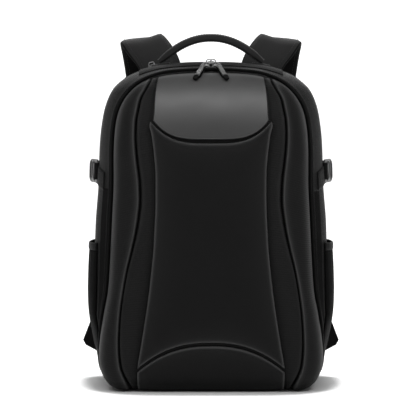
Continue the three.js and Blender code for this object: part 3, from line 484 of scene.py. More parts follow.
def solid(name, outlines, thickness, place, material, bevel=0.5, replaces=()):
    """Flat plate with holes from 2D outlines, with bevelled edges. place is a 4x4 array in millimetres."""
    curve = bpy.data.curves.new(name, "CURVE")
    curve.dimensions = "2D"
    curve.fill_mode = "BOTH"
    for outline in outlines:
        spline = curve.splines.new("POLY")
        spline.points.add(len(outline) - 1)
        for point, (x, y) in zip(spline.points, outline):
            point.co = (x, y, 0, 1)
        spline.use_cyclic_u = True
    curve.extrude = (thickness - 2 * bevel) / 2
    curve.bevel_depth = bevel
    curve.bevel_resolution = 2
    curve.offset = -bevel
    source = bpy.data.objects.new(name + "_curve", curve)
    bpy.context.scene.collection.objects.link(source)
    mesh = bpy.data.meshes.new_from_object(source.evaluated_get(bpy.context.evaluated_depsgraph_get()))
    bpy.data.objects.remove(source)
    verts = at(place, np.array([v.co for v in mesh.vertices]))
    mesh.vertices.foreach_set("co", (verts / 1000).reshape(-1).astype(np.float32))
    mesh.update()
    mesh.name = name
    mesh.materials.clear()
    mesh.polygons.foreach_set("use_smooth", np.ones(len(mesh.polygons), bool))
    mesh.set_sharp_from_angle(angle=math.radians(35))
    return enlist(name, mesh, material, replaces)


def at(place, points):
    """Points of a place's own axes, in those of the bag."""
    return points @ place[:3, :3].T + place[:3, 3]


def placed(origin, along, up):
    """4x4 place with its X along one direction and its Z near another."""
    z = unit(np.asarray(up, float))
    x = np.asarray(along, float)
    x = unit(x - z * np.dot(x, z))
    place = np.eye(4)
    place[:3, 0], place[:3, 1], place[:3, 2], place[:3, 3] = x, np.cross(z, x), z, origin
    return place


# Materials
class Shade:
    """Small helper that builds one node material."""

    def __init__(self, name, roughness, metallic=0.0, specular=0.5, sheen=0.0, sheen_roughness=0.5):
        self.material = bpy.data.materials.new(name)
        self.material.use_nodes = True
        self.nodes = self.material.node_tree.nodes
        self.links = self.material.node_tree.links
        self.shader = self.nodes["Principled BSDF"]
        self.set("Roughness", roughness)
        self.set("Metallic", metallic)
        self.set("Specular IOR Level", specular)
        self.set("Sheen Weight", sheen)
        self.set("Sheen Roughness", sheen_roughness)

    def fill(self, socket, value):
        if isinstance(value, bpy.types.NodeSocket):
            self.links.new(value, socket)
        else:
            socket.default_value = value

    def set(self, socket, value):
        self.fill(self.shader.inputs[socket], value)

    def node(self, kind, inputs=None, **settings):
        node = self.nodes.new("ShaderNode" + kind)
        for key, value in settings.items():
            setattr(node, key, value)
        for key, value in (inputs or {}).items():
            self.fill(node.inputs[key], value)
        return node

    def math(self, operation, a, b=0.0, clamp=False):
        return self.node("Math", {0: a, 1: b}, operation=operation, use_clamp=clamp).outputs[0]

    def coordinates(self, kind):
        source = self.node("TexCoord").outputs["UV" if kind == "uv" else "Object"]
        split = self.node("SeparateXYZ", {0: source}).outputs
        return split[0], split[1 if kind == "uv" else 2]

    def wave(self, coordinate, pitch, phase=0.0):
        """0 to 1, once for each pitch in millimetres."""
        turn = self.math("MULTIPLY_ADD", coordinate, 2000 * math.pi / pitch)
        turn.node.inputs[2].default_value = phase
        return self.math("MULTIPLY_ADD", self.math("SINE", turn), 0.5)

    def noise(self, scale, detail=3.0):
        source = self.node("TexCoord").outputs["Object"]
        return self.node("TexNoise", {"Vector": source, "Scale": scale, "Detail": detail}).outputs[0]

    def ramp(self, value, low, high, out_low, out_high):
        return self.node("MapRange", {0: value, 1: low, 2: high, 3: out_low, 4: out_high}).outputs[0]

    def blend(self, first, second, share):
        return self.node("Mix", {0: share, 6: first, 7: second}, data_type="RGBA").outputs[2]

    def weave(self, u, v, phase=0.0):
        return self.math("MULTIPLY", self.wave(*u, phase), self.wave(*v, phase))

    def mixed(self, first, weight, second, other_weight):
        """Sum of two values with their weights."""
        return self.math("ADD", self.math("MULTIPLY", first, weight),
                         self.math("MULTIPLY", second, other_weight))

    def wear(self):
        return self.node("Attribute", attribute_name="wear").outputs["Fac"]

    def bump(self, height, distance, strength=1.0):
        bump = self.node("Bump", {"Height": height, "Distance": distance, "Strength": strength})
        self.set("Normal", bump.outputs[0])


def grey(value):
    return (value, value, value, 1)


# Black of the painted shade in grooves and crevices.
PAINTED_SHADE_BLACK = 0.0004


def cloth(name, dark, light, pitch, depth, roughness, sheen, specular, kind="uv", weave="plain", rim=None):
    """Woven cloth. pitch is the thread pitch in millimetres, depth the relief of the weave.
    rim is the grey of the painted highlight, mixed in where the mesh's wear attribute is above zero; below
    zero the colour turns to painted shade."""
    s = Shade(name, roughness, specular=specular, sheen=sheen, sheen_roughness=0.45)
    u, v = s.coordinates(kind)
    if weave == "rib":
        fine = s.weave((u, pitch), (v, pitch))
        height = s.mixed(s.wave(v, pitch * 2.9), 0.7, fine, 0.5)
    elif weave == "mesh":
        cells, other = (s.weave((u, pitch * 2), (v, pitch * 1.7), phase) for phase in (0.0, math.pi))
        height = s.math("SUBTRACT", 1.0, s.math("MAXIMUM", cells, other))
        height = s.ramp(height, 0.25, 0.7, 0.0, 1.0)
    elif weave == "webbing":
        height = s.mixed(s.wave(v, pitch * 1.3), 0.6, s.wave(u, pitch), 0.4)
    else:
        over, under = (s.weave((u, pitch), (v, pitch), phase) for phase in (0.0, math.pi))
        height = s.math("MAXIMUM", over, under)
    grain = s.noise(900.0, 2.0)
    share = s.mixed(height, 0.55, s.noise(22.0), 0.35)
    share = s.math("ADD", share, s.math("MULTIPLY", grain, 0.2))
    colour = s.blend(grey(dark), grey(light), s.ramp(share, 0.15, 1.6, 0.0, 1.0))
    # Painted light: above zero the attribute mixes in the rim grey as a painted highlight, below zero it
    # darkens the colour as painted shade.
    if rim:
        painted_share = s.wear()
        colour = s.blend(colour, grey(rim), s.ramp(painted_share, 0.0, 1.0, 0.0, 1.0))
        colour = s.blend(colour, grey(PAINTED_SHADE_BLACK), s.ramp(painted_share, 0.0, -1.0, 0.0, 1.0))
    s.set("Base Color", colour)
    uneven = s.math("ADD", grain, height)
    s.set("Roughness", s.ramp(uneven, 0.2, 1.6, min(roughness + 0.08, 1), roughness - 0.1))
    s.bump(s.math("ADD", height, s.math("MULTIPLY", grain, 0.5)), depth / 1000)
    return s.material


def moulded(name, dark, light, roughness, grain_scale=700.0, depth=0.03, metallic=0.0, specular=0.5,
            matt=None):
    """Moulded plastic, rubber or metal with a fine grain. matt adds roughness where the mesh's wear attribute
    is high.
    """
    s = Shade(name, roughness, metallic=metallic, specular=specular)
    grain = s.noise(grain_scale, 3.0)
    blotches = s.noise(35.0)
    share = s.mixed(blotches, 0.7, grain, 0.3)
    s.set("Base Color", s.blend(grey(dark), grey(light), s.ramp(share, 0.25, 1.0, 0.0, 1.0)))
    rough = s.ramp(share, 0.2, 0.8, roughness + 0.06, max(roughness - 0.06, 0.02))
    if matt:
        rough = s.math("ADD", rough, s.math("MULTIPLY", s.wear(), matt), clamp=True)
    s.set("Roughness", rough)
    s.bump(grain, depth / 1000)
    return s.material


# Name, dark and light grey, thread pitch, relief, roughness, sheen, specular level.
# rim gives the grey of the painted highlight on rims, lips and the upper wings.
shell_cloth = cloth("shell_cloth", 0.0032, 0.0094, 1.1, 0.16, 0.6, 0.01, 0.09, weave="rib", rim=0.040)
panel_cloth = cloth("panel_cloth", 0.0025, 0.0070, 0.9, 0.10, 0.62, 0.01, 0.08, rim=0.042)
body_cloth = cloth("body_cloth", 0.0030, 0.009, 0.9, 0.12, 0.55, 0.03, 0.10)
black_cloth = cloth("black_cloth", 0.0015, 0.005, 0.8, 0.10, 0.85, 0.0, 0.1)
band_cloth = cloth("band_cloth", 0.002, 0.007, 0.9, 0.10, 0.75, 0.0, 0.1)
mesh_cloth = cloth("mesh_cloth", 0.0004, 0.004, 1.3, 0.35, 0.85, 0.0, 0.08, weave="mesh")
pad_mesh = cloth("pad_mesh", 0.0008, 0.007, 1.5, 0.45, 0.8, 0.03, 0.15, kind="xz", weave="mesh")
pad_lining = cloth("pad_lining", 0.0003, 0.0022, 1.4, 0.40, 0.85, 0.02, 0.1, weave="mesh")
strap_cloth = cloth("strap_cloth", 0.006, 0.018, 1.0, 0.14, 0.68, 0.05, 0.18)
webbing = cloth("webbing", 0.002, 0.008, 1.2, 0.30, 0.6, 0.01, 0.14, weave="webbing")
zip_tape = cloth("zip_tape", 0.001, 0.003, 0.7, 0.10, 0.85, 0.0, 0.08)

# Name, dark and light grey, roughness.
cap_satin = moulded("cap_satin", 0.008, 0.013, 0.42, grain_scale=1500.0, depth=0.012, specular=0.66,
                    matt=0.45)
thread = moulded("thread", 0.006, 0.012, 0.6, grain_scale=2500.0, depth=0.02, specular=0.3)
zip_coil = moulded("zip_coil", 0.0008, 0.0024, 0.6, specular=0.08)
zip_metal = moulded("zip_metal", 0.12, 0.32, 0.30, grain_scale=1200.0, depth=0.01, metallic=1.0)
hook_metal = moulded("hook_metal", 0.10, 0.18, 0.32, grain_scale=900.0, depth=0.01, metallic=0.9)
grip_rubber = moulded("grip_rubber", 0.0005, 0.0014, 0.7, depth=0.04, specular=0.05)
black_plastic = moulded("black_plastic", 0.004, 0.008, 0.38, depth=0.02, specular=0.4)


# Studio
def studio():
    scene = bpy.context.scene
    camera = bpy.data.cameras.new("camera")
    camera.lens, camera.sensor_width = 179.8, 36.0
    camera.clip_start, camera.clip_end = 0.1, 60
    view = bpy.data.objects.new("camera", camera)
    view.location = (-0.0014, -3.0327, 0.4631)
    view.rotation_euler = (math.radians(86), 0, 0)
    scene.collection.objects.link(view)
    scene.camera = view

    def light(name, place, target, size, power, tall):
        lamp = bpy.data.lights.new(name, "AREA")
        lamp.energy = power
        lamp.size = size
        lamp.shape, lamp.size_y = "RECTANGLE", tall
        o = bpy.data.objects.new(name, lamp)
        o.location = place
        o.rotation_euler = (Vector(target) - Vector(place)).to_track_quat("-Z", "Y").to_euler()
        scene.collection.objects.link(o)

    # Name, place, target, width, watts, height.
    light("key", (0, -1.15, 1.32), (0, -0.05, 0.34), 1.1, 8.5, 0.45)
    light("overhead", (0, 0.75, 1.55), (0, 0.0, 0.4), 1.0, 11, 0.35)
    light("left", (-0.85, -0.75, 1.5), (-0.14, -0.05, 0.45), 0.35, 8, 0.5)
    light("right", (0.85, -0.75, 1.5), (0.14, -0.05, 0.45), 0.35, 8, 0.5)
    light("front", (0, -3.6, 2.3), (0, 0, 0.2), 2.0, 2, 1.0)
    light("back", (0, 2.4, 2.2), (0, 1.2, 0.0), 3.0, 26, 2.0)

    world = bpy.data.worlds.new("world")
    scene.world = world
    world.use_nodes = True
    world.node_tree.nodes["Background"].inputs["Color"].default_value = (1, 1, 1, 1)
    world.node_tree.nodes["Background"].inputs["Strength"].default_value = 0.2
    scene.view_settings.view_transform = "Standard"

    s = Shade("floor_paint", 0.9, specular=0.1)
    s.set("Base Color", s.blend(grey(0.50), grey(0.54), s.noise(6.0)))
    s.set("Emission Color", (1, 1, 1, 1))
    # The floor's glow is dimmed by ambient occlusion near the bag: a painted contact shadow.
    shade = s.node("AmbientOcclusion", {"Distance": 0.07}).outputs["AO"]
    s.set("Emission Strength", s.ramp(shade, 0.62, 0.80, 0.0, 0.95))
    near, far, wall, bend = -24.0, 6.0, 5.0, 1.5
    floor_half, wall_half = 24.0, 9.0
    profile = [(near, 0.0), (far - bend, 0.0)]
    profile += [(far - bend + bend * math.sin(a), bend - bend * math.cos(a))
                for a in np.linspace(0, math.pi / 2, 13)[1:]]
    profile += [(far, wall)]
    verts = [(side * (wall_half if z else floor_half), y, z) for y, z in profile for side in (-1, 1)]
    faces = [(2 * i, 2 * i + 1, 2 * i + 3, 2 * i + 2) for i in range(len(profile) - 1)]
    mesh = bpy.data.meshes.new("floor")
    mesh.from_pydata(verts, [], faces)
    mesh.polygons.foreach_set("use_smooth", np.ones(len(faces), bool))
    mesh.materials.append(s.material)
    floor = bpy.data.objects.new("floor", mesh)
    scene.collection.objects.link(floor)


studio()


# Moulded front
def across_for(line, up):
    """Share of the half-width at which a side line runs, for each height."""
    low, high = np.zeros_like(up), np.ones_like(up)
    for _ in range(26):
        middle = (low + high) / 2
        point = front_base(middle, up)
        inside = point[..., 0] < line(point[..., 2])
        low, high = np.where(inside, middle, low), np.where(inside, high, middle)
    return (low + high) / 2


def relief_fade(up):
    """0 at the foot and the top of the shell, where its relief runs out, and above 1 between."""
    return np.minimum((1 - up) * SHELL_HEIGHT / TOP_FADE, up * SHELL_HEIGHT / FOOT_FADE)


# Lift in millimetres. CHANNEL runs from the panel to the groove, the others by distance from the groove.
CHANNEL = [[0.0, -3.6], [0.10, -3.4], [0.28, -2.0], [0.55, -0.7], [0.8, -0.4], [1.0, -0.6]]
GROOVE_IN = [[0.0, -6.0], [0.7, -5.8], [1.3, -3.6], [2.0, -1.3], [3.0, -0.2], [5.0, 0.0]]
GROOVE_OUT = [
    [0.0, -8.1], [0.7, -7.9], [1.3, -5.9], [2.0, -3.2], [3.0, -0.9], [4.4, 0.45], [6.6, 0.35], [11.0, 0.0],
]
WING = [[0.0, 1.5], [0.12, 1.9], [0.35, 1.9], [0.6, 1.5], [0.8, 0.9], [0.92, 0.35], [1.0, 0.0]]
PANEL_BED, GROOVE_BED = -3.6, -6.6
GROOVE_REACH = 12
GROOVE_STEPS = [0.5, 1.0, 1.5, 2.1, 2.7, 3.4, 4.4, 5.5, 7, 9, GROOVE_REACH]
CREST_FOOT, CREST_RISE = 360, 55


def front_shell():
    """Tray with its channel, groove and wing, in columns from the middle to the edge."""
    up = (1 - np.cos(math.pi * np.linspace(0, 1, 231))) / 2
    panel = across_for(lambda z: panel_side(z) + 1.2, up)
    groove = across_for(wing_line, up)
    width = (groove - panel) * SHELL_HALF
    columns = []

    # The third value of each column is painted light: above zero a painted highlight, below zero painted
    # shade.
    def column(place, lift, wear):
        columns.append([np.broadcast_to(value, up.shape) for value in (place, lift, wear)])

    for share in (0.5, 0.9, 0.96):
        column(panel * share, PANEL_BED, 0)
    # Painted shade in the channel, darkest beside the panel.
    for share in (0, 0.06, 0.14, 0.24, 0.36, 0.5):
        place = lerp(panel, groove, share * (1 - GROOVE_REACH / np.maximum(width, GROOVE_REACH + 1)))
        column(place, smooth_at(CHANNEL, (place - panel) * SHELL_HALF / width), -1.0 * (1 - share) ** 6)
    # Inside the groove: painted shade at its bottom and a faint painted highlight about 5 mm in.
    for step in GROOVE_STEPS[::-1]:
        inward = np.minimum(step, width * 0.45 * step / GROOVE_REACH + step * 0.3)
        place = groove - inward / SHELL_HALF
        d = (groove - place) * SHELL_HALF
        column(place, smooth_at(CHANNEL, 1 - d / width) + smooth_at(GROOVE_IN, d),
               0.12 * bell(d, 5.0, 2.5) - 1.5 * bell(d, 0, 1.8))
    # Painted shade along the bottom of the groove.
    column(groove, GROOVE_BED, -1.6)
    # Outside the groove: painted shade at its bottom and a painted highlight on the wing's lip.
    for step in GROOVE_STEPS:
        place = groove + step / SHELL_HALF
        column(place, smooth_at(WING, (place - groove) / (1 - groove)) + smooth_at(GROOVE_OUT, step),
               0.62 * bell(step, 3.7, 1.5) + 0.22 * bell(step, 6, 5.0) - 1.6 * bell(step, 0, 1.6))
    start = groove + GROOVE_REACH / SHELL_HALF
    # Painted highlight on the upper part of the wing, growing toward its outer edge.
    crest = np.clip((up * SHELL_HEIGHT - CREST_FOOT) / CREST_RISE, 0, 1)
    for share in 1 - (1 - np.linspace(0, 1, 24)[1:]) ** 1.9:
        place = lerp(start, 1.0, share)
        column(place, smooth_at(WING, (place - groove) / (1 - groove)), 0.6 * share ** 2 * crest)

    def mirrored(number, middle, sign=1):
        half = np.stack([parts[number] for parts in columns], 1)
        return np.concatenate([sign * half[:, ::-1], np.full((len(up), 1), middle), half], 1)

    across = mirrored(0, 0.0, -1)
    fade = np.clip(relief_fade(up), 0, 1)[:, None]
    grid = front_lift(across, np.broadcast_to(up[:, None], across.shape), mirrored(1, PANEL_BED) * fade)
    surface("front_shell_skin", grid, shell_cloth, wear=mirrored(2, 0.0) * fade, sharp=0, slot="shell_cloth",
            replaces=["front_shell"], turn=False)


front_shell()

NO_RIM = [[0.0, 0.0], [1.0, 0.0]]
SIDE_RIM = [[0.0, 0.2], [0.8, 1.1], [1.8, 1.35], [3.0, 0.9], [4.6, 0.2], [6.5, 0.0]]
ARCH_RIM = [[0.0, 0.6], [1.0, 1.7], [2.4, 1.9], [4.0, 1.2], [6.0, 0.3], [8.5, 0.0]]
LIP_RIM = [[0.0, 0.8], [1.4, 2.2], [3.4, 2.6], [5.6, 2.0], [7.6, 0.7], [10.0, 0.0]]
EDGE_STEPS = [0, 0.35, 0.7, 1.1, 1.6, 2.2, 2.9, 3.7, 4.6, 5.8, 7.2, 9.0, 11.0]
PLATE_PITCH = 4.0
PANEL_FACE, CAP_FACE, PLATE_BACK = 0.7, 1.9, -2.9
EAR_Z, EAR_SPREAD = 372.0, 8.5


def plate_steps(length):
    """Shares of a length, close together at both ends."""
    first, last = EDGE_STEPS[-1], length - EDGE_STEPS[-1]
    inner = np.linspace(first, last, max(len(np.arange(first, last, PLATE_PITCH)), 2))
    return np.concatenate([EDGE_STEPS[:-1], inner, length - np.array(EDGE_STEPS[:-1])[::-1]]) / length


def front_plate(name, half_at, low_at, high_at, face, rims, material, wall=2.6, round_edge=1.5, ears=0.0,
                **options):
    """Raised plate on the front. rims give the height of the rim by distance from the side, foot and top."""
    zero = np.array(0.0)
    width = 2 * float(half_at((low_at(zero) + high_at(zero)) / 2))
    a, b = np.meshgrid(plate_steps(width), plate_steps(float(high_at(zero) - low_at(zero))))
    z = lerp(low_at(np.zeros_like(a)), high_at(np.zeros_like(a)), b)
    for _ in range(8):
        x = (2 * a - 1) * half_at(z)
        z = lerp(low_at(x), high_at(x), b)
    side = np.minimum(a, 1 - a) * 2 * half_at(z)
    span = high_at(x) - low_at(x)
    distances = (side, b * span, (1 - b) * span)
    rim = np.maximum.reduce([smooth_at(table, d) for table, d in zip(rims, distances)])
    rim = np.maximum(rim, ears * bell(side, 0, 5.0) * bell(z, EAR_Z, EAR_SPREAD))
    drop = np.clip(1 - np.minimum.reduce(distances) / round_edge, 0, 1)
    drop = wall * (1 - np.sqrt(np.maximum(1 - drop**2, 0)))
    shares = front_shares(x, z)
    fade = np.clip(relief_fade(shares[1]), 0.35, 1)
    outer = front_lift(*shares, (face + rim - drop) * fade)
    inner = front_lift(*shares, PLATE_BACK * fade)
    # Painted highlight along the rims of the rimmed plates; the cap, with no rims, instead gets more
    # roughness near its top through the same attribute.
    rimmed = [d for d, table in zip(distances, rims) if table is not NO_RIM]
    if rimmed:
        nearest = np.minimum.reduce(rimmed)
        wear = np.clip(0.95 * bell(nearest, 0, 2.4) + 0.14 * np.exp(-nearest / 12), 0, 1)
    else:
        wear = bell(distances[2], 0, 14.0)
    plate(name, outer, inner, material, wear=wear, sharp=0, **options)


front_plate("centre_panel_skin", lambda z: panel_side(z) + 2.2 * bell(z, 376.0, 7.0), arch_at, panel_top_at,
            PANEL_FACE, [SIDE_RIM, ARCH_RIM, LIP_RIM], panel_cloth, ears=3.0, slot="shell_cloth",
            replaces=["centre_panel"])
front_plate("top_cap_skin", lambda z: panel_side(z) - 2.2, cap_foot_at, cap_top_at, CAP_FACE,
            [NO_RIM, NO_RIM, NO_RIM], cap_satin, wall=3.4, round_edge=1.6, slot="cap_satin",
            replaces=["top_cap"])
front_plate("lower_panel_skin", panel_side, lambda x: np.zeros_like(x) + SHELL_FOOT + EDGE_INSET - 4.0,
            lambda x: arch_at(x) - ARCH_GAP, PANEL_FACE, [SIDE_RIM, NO_RIM, ARCH_RIM], panel_cloth,
            slot="shell_cloth", replaces=["lower_panel"])


# Cloth body
def soft(grid, normal, size, height, seed):
    """Low waves in cloth, the same each run."""
    rng = np.random.default_rng(seed)
    wave = np.zeros(grid.shape[:2])
    for _ in range(7):
        direction = unit(rng.normal(size=3))
        wave += np.sin(grid @ direction * 2 * math.pi / (size * rng.uniform(0.6, 1.6)) + rng.uniform(0, 6.28))
    return grid + normal * (wave / 7 * height)[..., None]


# Depth shares and heights of the black strips beside the main zip.
TAPE_EDGE, STRIP_EDGE = 0.109, 0.209
STRIP_FOOT, STRIP_TOP = 18, 284
LIP = 2.4


def gusset():
    around = np.linspace(-LAST, LAST, 520)
    depth = np.unique(np.concatenate([np.linspace(0, 0.2, 12), np.linspace(0.2, 1, 30), [0.045, 0.11, 0.21]]))
    a, d = np.meshgrid(around, depth, indexing="ij")
    base, normal = body_base(a, d), body_normal(a, d)
    height = base[..., 2]
    calm = np.sin(math.pi * np.clip((d - 0.1) / 0.9, 0, 1)) * np.clip(height / 25, 0, 1)
    grid = base + (soft(base, normal, 90.0, 0.7, 3) - base) * calm[..., None]
    lips = [grid[:, k] - normal[:, k] * LIP for k in (0, -1)]
    grid = np.concatenate([lips[0][:, None], grid, lips[1][:, None]], 1)
    made = surface("gusset_skin", grid, body_cloth, sharp=0, slot="body_cloth", replaces=["gusset"],
                   turn=False)
    made.data.materials.append(mesh_cloth)
    made.data.materials.append(zip_tape)
    strip_zone = (d > TAPE_EDGE) & (d < STRIP_EDGE) & (height < STRIP_TOP) & (height > STRIP_FOOT)
    zone = np.where(d < TAPE_EDGE, 2, np.where(strip_zone, 1, 0))
    zone = np.concatenate([zone[:, :1], zone], 1)
    made.data.polygons.foreach_set("material_index", zone[:-1].reshape(-1).astype(np.int32))


gusset()


def body_patch(name, around, depth, lift, material, top=1.0, steps=(120, 10), shape=None, spread=None,
               **options):
    """Closed patch lying on the cloth body, with rounded edges. spread shifts its stations."""
    s, t = (np.linspace(0, 1, count) for count in steps)
    if shape is None:
        t = (1 - np.cos(math.pi * t)) / 2
    a, d = np.meshgrid(lerp(*around, s), lerp(*depth, t), indexing="ij")
    if spread:
        a = a + spread(a, d)
    falls = [np.minimum(share, 1 - share) * count / 1.5 for share, count in zip((s, t), steps)]
    edge_fall = np.minimum(falls[0][:, None], falls[1][None, :])
    height = (top if shape is None else shape(t)) * (0.45 + 0.55 * np.clip(edge_fall, 0, 1))
    plate(name, body_point(a, d, lift + height), body_point(a, d, lift - 0.3), material, **options)


# Piping beside the shell's edge
def piping():
    around = np.linspace(-16.4, 16.4, 420)
    x, z = shell_edge(around)
    ahead, behind = shell_edge(around + 0.2), shell_edge(around - 0.2)
    along = unit(np.stack([ahead[0] - behind[0], np.zeros_like(x), ahead[1] - behind[1]], -1))
    out = np.stack([-along[:, 2], np.zeros_like(x), along[:, 0]], -1)
    middle = np.stack([x, np.full_like(x, RIM_Y - PIPING_RADIUS * 0.75), z], -1)
    flip = np.sum(out * (middle - [0, RIM_Y, SHELL_HEIGHT / 2]), -1) < 0
    out[flip] *= -1
    hidden = tuck(z)[:, None]
    path = middle + out * (PIPING_RADIUS + 0.7 - 3.6 * hidden) + np.array([0, 2.6, 0]) * hidden
    path[:, 2] = np.maximum(path[:, 2], PIPING_RADIUS + FLOOR_GAP)
    sweep("shell_piping_skin", path, out, 2 * PIPING_RADIUS, 2 * PIPING_RADIUS, zip_tape,
          shape=section("round", 12), slot="zip_tape", replaces=["shell_piping"])


piping()

COIL_PITCH, COIL_STEP = 1.5, 0.7


def zip_chain(name, around, depths, lift, coil_at=0.5, coil_lift=1.75,
              seams=(("front", 0.14), ("rear", 0.86)), shape=None):
    """Zip tape with its closed coil and its rows of stitches."""
    body_patch(name + "_tape", around, depths, lift, zip_tape, steps=(400, 10), shape=shape, slot="zip_tape",
               replaces=[name], sharp=0)
    line = np.linspace(*around, 900)
    middle = lerp(*depths, coil_at)
    centres = along_path(body_point(line, middle, coil_lift), COIL_PITCH)
    along = unit(np.gradient(centres, axis=0))
    up = body_normal(np.linspace(*around, len(centres)), middle)
    across = np.cross(up, along)
    offset = np.where(np.arange(len(centres)) % 2 == 0, COIL_STEP, -COIL_STEP)[:, None]
    beads(name + "_coil", centres + across * offset, across, up, (3.4, 1.1, 1.1), zip_coil, slot="zip_tape")
    for side, place in seams:
        row = body_point(line, lerp(*depths, place), lift + 1.05)
        stitches(name + "_seam_" + side, row, lambda c: unit(c - [0, 0, BODY_HEIGHT / 2]), "zip_tape")


REAR_END = float(body_station(235.0))
zip_chain("main_zip", (-16.0, 16.0), (MAIN_ZIP[0], 0.105), 0.25, coil_at=0.6, coil_lift=2.0, seams=(),
          shape=lambda t: 1.65 - 1.75 * t**3)
zip_chain("rear_zip", (-REAR_END, REAR_END), REAR_ZIP, 0.4)

BAND_STATION = float(top_station(BAND_HALF))


def band_spread(a, d):
    """Move the stations so that the ends of the band keep their distance from the middle of the bag."""
    goal = np.abs(body_base(BAND_STATION, np.array(TOP_BAND[1]))[..., 0])
    end = np.full(d.shape, BAND_STATION)
    for _ in range(6):
        slope = (body_base(end + 0.05, d)[..., 0] - body_base(end - 0.05, d)[..., 0]) / 0.1
        end = end + (goal - body_base(end, d)[..., 0]) / slope
    return a / BAND_STATION * (end - BAND_STATION)


body_patch("top_band_skin", (-BAND_STATION, BAND_STATION), TOP_BAND, 0.4, band_cloth, top=1.3,
           steps=(160, 26), spread=band_spread, slot="black_cloth", replaces=["top_band"], sharp=0)
for label, side in SIDES:
    depths = np.linspace(TOP_BAND[0] + 0.02, TOP_BAND[1] - 0.02, 60)
    row = body_point(side * BAND_STATION * 0.972, depths, 1.9)
    stitches("top_band_seam_" + label, row, (0, 0, 1), "black_cloth")


# Zip sliders and pulls
def ring(name, outline, place, radius, material, **options):
    """Closed wire along a flat outline."""
    path = outline @ place[:3, :2].T + place[:3, 3]
    path = np.vstack([path, path[:1]])
    tangent = unit(np.roll(path[:-1], -1, 0) - np.roll(path[:-1], 1, 0))
    tangent = np.vstack([tangent, tangent[:1]])
    flat = np.broadcast_to(place[:3, 2], path.shape)
    wide = np.cross(tangent, flat)
    shape = section("round", 10) * radius
    grid = path[:, None] + wide[:, None] * shape[None, :, :1] + flat[:, None] * shape[None, :, 1:]
    return make(name, grid.reshape(-1, 3), grid_faces(*grid.shape[:2], ring=True), material,
                grid_uvs(grid, ring=True), **options)


def shifted(place, x=0.0, y=0.0, z=0.0):
    moved = place.copy()
    moved[:3, 3] = place[:3, :3] @ [x, y, z] + place[:3, 3]
    return moved


SLIDER_TOP = 6.45
PULL_X = 24.0


def slider(name, place, replaces):
    """Two flanges with a post between them and a bridge on top."""
    low = solid(name, [rounded(11, 8, 2.6)], 1.2, shifted(place, z=0.6), zip_metal, bevel=0.35,
                replaces=replaces)
    high = solid(name + "_top", [rounded(10, 7, 2.4)], 1.2, shifted(place, z=2.3), zip_metal, bevel=0.4)
    post = solid(name + "_post", [rounded(5, 4, 1.0)], 2.2, shifted(place, z=1.5), zip_metal, bevel=0.2)
    arch = [[-4.0, 2.4], [-4.0, 4.6], [-2.8, 6.2], [0, SLIDER_TOP], [2.8, 6.2], [4.0, 4.6], [4.0, 2.4]]
    path = path_through(at(place, np.array([[x, 0, z] for x, z in arch])), 24)
    bridge = sweep(name + "_bridge", path, place[:3, 1], 2.2, 1.3, zip_metal, shape=section("box", 12, 3.0))
    merge(low, high, post, bridge)


def zip_pull(label, side):
    """Slider, link, metal tab and rubber grip. The tab lies on the cap."""
    station = 7.0 / (OUTLINE[1][0] * SHELL_HALF) * side
    depth = sum(MAIN_ZIP) / 2
    up = body_normal(station, depth)
    seat = body_point(station, depth, 2.72)
    slider("zip_slider_skin_" + label, placed(seat, (1, 0, 0), up), ["zip_slider_" + label])

    eye = np.array([side * 11.0, RIM_Y - 6.5, SHELL_HEIGHT + 9.0])
    spots = [front_shares(np.array(side * PULL_X), np.array(SHELL_HEIGHT - drop)) for drop in (17.0, 8.5)]
    along = unit(front_lift(*spots[0], 4.35) - eye)
    place = placed(eye + along * (11.0 - 2.6), -along, front_normal(*spots[1]))
    outlines = [rounded(28, 6.4, 2.6, x=-3.0), rounded(3.2, 3.2, 1.6, 4, x=8.4)[::-1]]
    tab = solid("zip_tab_skin_" + label, outlines, 1.7, place, zip_metal, bevel=0.4,
                replaces=["zip_tab_" + label])
    # A black rubber plate under the tab, set off to one side, stands in for the tab's shadow: a painted
    # shadow.
    shadow_plate = solid("zip_backing_" + label, [rounded(24, 7.6, 3.0, x=-5.0)], 1.2,
                    shifted(place, y=side * 1.3, z=-1.5), grip_rubber, bevel=0.4)
    rows = at(place, np.array([[x, y + (0.4 if round(x * 10) % 2 else 0.0), 0.95]
                               for x in np.arange(-11.5, 6.0, 1.3) for y in (-1.7, 0.0, 1.7)]))
    knurl = beads("zip_knurl_" + label, rows, np.tile(place[:3, 1], (len(rows), 1)), place[:3, 2],
                  (1.5, 0.9, 0.7), zip_metal)
    merge(tab, knurl)
    grip = solid("zip_grip_skin_" + label, [rounded(10.4, 7.8, 3.7)], 3.0, shifted(place, x=-18.8),
                 grip_rubber, bevel=0.9, replaces=["zip_grip_" + label])
    merge(grip, shadow_plate)

    place = placed(seat + up * 6.6 + np.array([-side * 4.6, 0.8, 1.2]), (1, 0, 0), (0, -1, 0.25))
    loop = ring("zip_loop_" + label, rounded(7.2, 6.4, 3.0), place, 0.75, zip_metal)
    knob = solid("zip_knob_" + label, [rounded(4.2, 3.4, 1.4)], 2.4, shifted(place, x=-side * 0.6, y=-1.0),
                 zip_metal, bevel=0.6)
    bridge = seat + up * SLIDER_TOP
    reach = unit(bridge - eye)
    start, end = eye - reach * 0.6, bridge + reach * 2.9
    length = np.linalg.norm(end - start)
    link = ring("zip_link_skin_" + label, rounded(length - 1.2, 5.6, 2.6),
                placed((start + end) / 2, reach, np.cross(reach, (1.0, 0, 0))), 0.6, zip_metal,
                slot="zip_metal", replaces=["zip_link_" + label])
    merge(link, loop, knob)


def rear_slider():
    station, depth = -float(top_station(86.0)), sum(REAR_ZIP) / 2
    along = body_base(station + 0.2, depth) - body_base(station - 0.2, depth)
    place = placed(body_point(station, depth, 2.2), along, body_normal(station, depth))
    slider("rear_slider_skin", place, ["rear_slider"])


for label, side in SIDES:
    zip_pull(label, side)
rear_slider()

